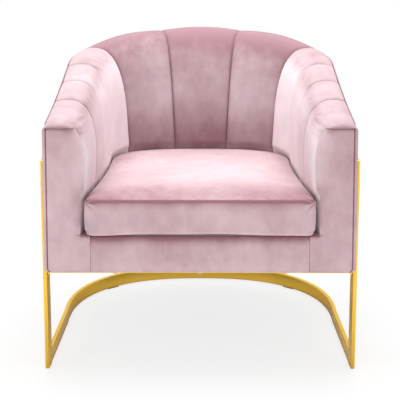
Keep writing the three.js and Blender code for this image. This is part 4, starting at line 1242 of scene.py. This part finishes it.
def corner_folds(x, y, z):
    """A sine of the angle round each front corner, so the folds fan out, and the distance to it."""
    beside = wall_plan(cushion_inset)["front"] - cushion_corner * 0.3 - np.abs(x)
    to_corner = np.hypot(beside, y + cushion_front)
    rise = z - seam_height + fold_slant * (y + cushion_front)
    fan = np.sin(fold_fan * np.arctan2(rise, np.abs(beside) + fold_round))
    return fan * bell(to_corner, corner_reach), to_corner


# Painted light and shade on the cushion: lighter in the middle of the top, darker towards its front,
# sides and back, painted shade in the top seam and in a band under it, painted shade and highlights
# across the corner folds, and painted light on its sides and at its foot.
top_tone, front_tone, side_tone, back_tone = 0.13, -0.34, -0.14, -0.18
side_painted_light, boxing_shade, boxing_side_light = 0.30, -0.25, 0.10
seam_shade, foot_light, fold_shading = -0.5, 0.12, 0.45


def cushion_shading(points):
    """The cushion's painted light and shade: light in the middle of the top, darker towards its front,
    its sides and its back, dark along the front seam and in a band under it, light and dark across
    the corner folds, and light on its sides behind the front and along its foot."""
    x, y, z = points.T
    folds, to_corner = corner_folds(x, y, z)
    top = smooth(z, seam_height - 0.001, seam_height + 0.004)
    on_top = (top_tone + front_tone * (1 - smooth(y, 0.01, 0.13))
              + side_tone * smooth(np.abs(x), 0.13, 0.25) + back_tone * smooth(y, 0.25, 0.45))
    behind_front = smooth(y, 0.04, 0.16)
    on_side = (side_painted_light * behind_front
               + boxing_shade * (1 - behind_front) * bell(seam_height - z, 0.014)
               + boxing_side_light * smooth(y, 0.0, 0.02))
    seam = (seam_shade * (1 - 1.4 * behind_front) * bell(z - seam_height, 0.0034)
            + foot_light * bell(z - cushion_bottom, 0.006))
    crease = fold_shading * folds * np.exp(-np.abs(z - seam_height) / 0.012)
    return on_top * top + on_side * (1 - top) + seam * (1 - bell(to_corner, 0.010)) + crease


crown = slack_crown
points, quads = tube(cushion_rings(0.0, crown))
cushion = new_object("seat_cushion_cover", points, quads, cushion_shading(points))
blow_up(cushion, at_the_seams, voxel=0.007, pressure=4.0, frames=20,
        side_cap=0.004, rise_cap=0.012)

# %% [markdown]
# Last come the gathers. Where the thick velvet turns the front corners, the stitching pulls it into
# small folds, and along the front seam it is pulled a little unevenly. The lower front edge hangs
# in a shallow wave, a few millimetres higher in the middle than at the corners.

# %% Press in the gathers
seam_fold, fold_reach, fold_clear = 0.0009, 0.011, 0.003
edge_lift, edge_wave, edge_wave_length = 0.0042, 0.15, 0.19


def press_gathers(piece):
    """Moves points near the top seam up and down by a wave along the seam, which dies out with the
    distance from the seam, and is strongest at the two front corners."""
    points = mesh_points(piece.data)
    x, y, z = points[:, 0], points[:, 1] - front_plane, points[:, 2]
    from_seam = np.abs(z - seam_height - 0.002)
    folds, _ = corner_folds(x, y, z)
    pulls = ripple(x + 0.6 * y * np.sign(x), 3.0) * (1 - smooth(y, 0.0, 0.05))
    fade = np.exp(-from_seam / fold_reach)
    lift = fade * (corner_fold * folds + seam_fold * pulls) * smooth(from_seam, 0, fold_clear)
    normal = np.empty(len(points) * 3, np.float32)
    piece.data.vertex_normals.foreach_get("vector", normal)
    half = wall_plan(cushion_inset)["front"] * 1.02
    in_front = (1 - smooth(y, 0.0, 0.07)) * (1 - smooth(z - cushion_bottom, 0.004, 0.045))
    wave = (smooth(1 - np.abs(x + 0.02) / half, 0.02, 0.75)
            + edge_wave * np.sin(2 * math.pi * x / edge_wave_length))
    moved = points + normal.reshape(-1, 3) * lift[:, None]
    moved[:, 2] += edge_lift * in_front * wave
    set_points(piece.data, moved)
    print("gathers up to", round(float(np.abs(lift).max()) * 1000, 1), "mm")


press_gathers(cushion)
dress(cushion, shaded_front_velvet, ["cushion_cover"], body="seat_cushion")
core = new_object("seat_cushion_core", *tube(cushion_rings(0.0065, slack_crown)))
dress(core, foam, ["cushion_foam"], body="seat_cushion")

# %% [markdown]
# ## The deck and the dust cloth
# Under the loose cushion a thin pad covers the springs. Under the body a black bonded cloth closes
# the frame from below. Both follow the U of the pieces that they are fixed to.

# %% Make the deck and the dust cloth
u_points, plate_rings, plate_middle = 200, 24, 0.03


def u_outline(plan, front):
    """A U shut by a straight line at the front."""
    x, y = plan_point(plan, np.linspace(0, 2, u_points))
    return np.stack([x, np.maximum(y, front)], -1)


def plate(outline, levels):
    """A closed plate over an outline between two levels: rings scaled in to the middle."""
    centre = outline.mean(0)
    share = np.linspace(plate_middle, 1, plate_rings)
    share = np.concatenate([share, share[::-1]])
    xy = centre + (outline - centre)[None] * share[:, None, None]
    return raised(xy, np.repeat(levels, plate_rings)[:, None])


deck = plate(u_outline(wall_plan(seam_gap), fit_gap), [corner.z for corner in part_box("deck_pad")])
dress(new_object("deck_cover", *tube(deck)), velvet, ["deck_pad"],
      sharp=sharp_edge)
dust_low, dust_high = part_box("dust_cover")
dust_outline = u_outline(u_plan(0.016), dust_low.y - front_plane)
dust = plate(dust_outline, [dust_low.z, dust_high.z])
dust_piece = dress(new_object("dust_cloth_sheet", *tube(dust)), dust_cloth,
                   ["dust_cover"], sharp=sharp_edge)

# %% [markdown]
# ## Camera, floor and light
# The camera stands where the photograph's stood: 3.38 m in front of the uprights and 1.37 m up,
# looking down by 13.7 degrees through a long lens. The air is white to the camera and to what the
# metal mirrors. The floor is white to the camera too, but it keeps some of the chair's shadow, and
# the metal mirrors it as it is lit. One large soft lamp from above and two smaller ones from the
# front give the velvet its shape.

# %% Set up the camera
camera_distance, camera_height, camera_aside = 3.384, 1.370, -0.012
camera_pitch = math.radians(13.7)
camera_turn = math.atan2(camera_aside, camera_distance)
focal_pixels, frame_pixels, axis_row = 1441, 400, 158
sensor = 36.0
lens_data = bpy.data.cameras.new("camera")
lens_data.sensor_width = sensor
lens_data.lens = focal_pixels / frame_pixels * sensor
lens_data.shift_y = (axis_row - frame_pixels / 2) / frame_pixels
camera = link_object("camera", lens_data)
camera.location = (-camera_aside, front_plane - camera_distance, camera_height)
camera.rotation_euler = (quarter_turn - camera_pitch, 0, -camera_turn)
bpy.context.scene.camera = camera
print("lens", round(lens_data.lens, 2), "mm, shift", lens_data.shift_y)

# %% Set up the air and the floor
def white_to_the_camera(tree, plain, white, end):
    """Shows camera, glossy and transmission rays the second shader and all others the plain one."""
    rays = node(tree, "LightPath").outputs
    seen = combine(tree, "MAXIMUM", rays["Is Camera Ray"], rays["Is Glossy Ray"])
    seen = combine(tree, "MAXIMUM", seen, rays["Is Transmission Ray"])
    mix = node(tree, "MixShader", {"Fac": seen, 1: plain.outputs[0], 2: white.outputs[0]})
    tree.links.new(mix.outputs[0], end.inputs["Surface"])


world = bpy.data.worlds.new("studio")
world.use_nodes = True
bpy.context.scene.world = world
air = world.node_tree
ambient = air.nodes["Background"]
fill_inputs(air, ambient, {"Color": (1.0, 0.98, 0.97, 1), "Strength": 0.55})
white_air = node(air, "Background", {"Color": (1, 1, 1, 1), "Strength": 1.0})
white_to_the_camera(air, ambient, white_air, air.nodes["World Output"])

floor_half = 4.0
floor_mesh = bpy.data.meshes.new("floor")
corners = ((-1, -1), (1, -1), (1, 1), (-1, 1))
floor_mesh.from_pydata([(x * floor_half, y * floor_half, 0) for x, y in corners],
                       [], [(0, 1, 2, 3)])
floor = link_object("floor", floor_mesh)
floor_finish, tree, shader, place = new_material("floor")
pale = blend_colors(tree, noise(tree, place, 3.0), (0.80, 0.80, 0.80, 1), (0.82, 0.82, 0.82, 1))
fill_inputs(tree, shader, {"Base Color": pale, "Roughness": 0.6})
lit = node(tree, "Emission", {"Strength": 1.0})
from_chair = node(tree, "VectorMath", {0: place}, operation="LENGTH").outputs["Value"]
mirrored = node(tree, "LightPath").outputs["Is Glossy Ray"]
whiteness = combine(tree, "MULTIPLY", remap(tree, from_chair, 0.5, 1.8, 0.78, 1.0),
                    remap(tree, mirrored, 0, 1, 1.0, 0.05))
with_shadow = node(tree, "MixShader", {"Fac": whiteness, 1: shader.outputs[0], 2: lit.outputs[0]})
white_to_the_camera(tree, shader, with_shadow, tree.nodes["Material Output"])
paint(floor, floor_finish)
print("floor:", 2 * floor_half, "m square")

# %% Set up the lamps
lamp_aim = np.array([0.0, 0.0, 0.45])


def soft_lamp(name, place, size, power):
    """A square lamp at a place, turned to look at the chair."""
    data = bpy.data.lights.new(name, "AREA")
    data.shape, data.size, data.energy = "SQUARE", size, power
    lamp = link_object(name, data)
    lamp.location = place
    to_chair = lamp_aim - np.array(place)
    lamp.rotation_euler = (math.atan2(math.hypot(to_chair[0], to_chair[1]), -to_chair[2]), 0,
                           math.atan2(to_chair[1], to_chair[0]) - quarter_turn)


soft_lamp("top_lamp", (0.0, 0.35, 2.8), 2.0, 84)
soft_lamp("left_lamp", (-2.2, -2.2, 1.3), 1.5, 30)
soft_lamp("right_lamp", (2.2, -2.2, 1.3), 1.5, 24)
bpy.context.scene.view_settings.view_transform = "Standard"
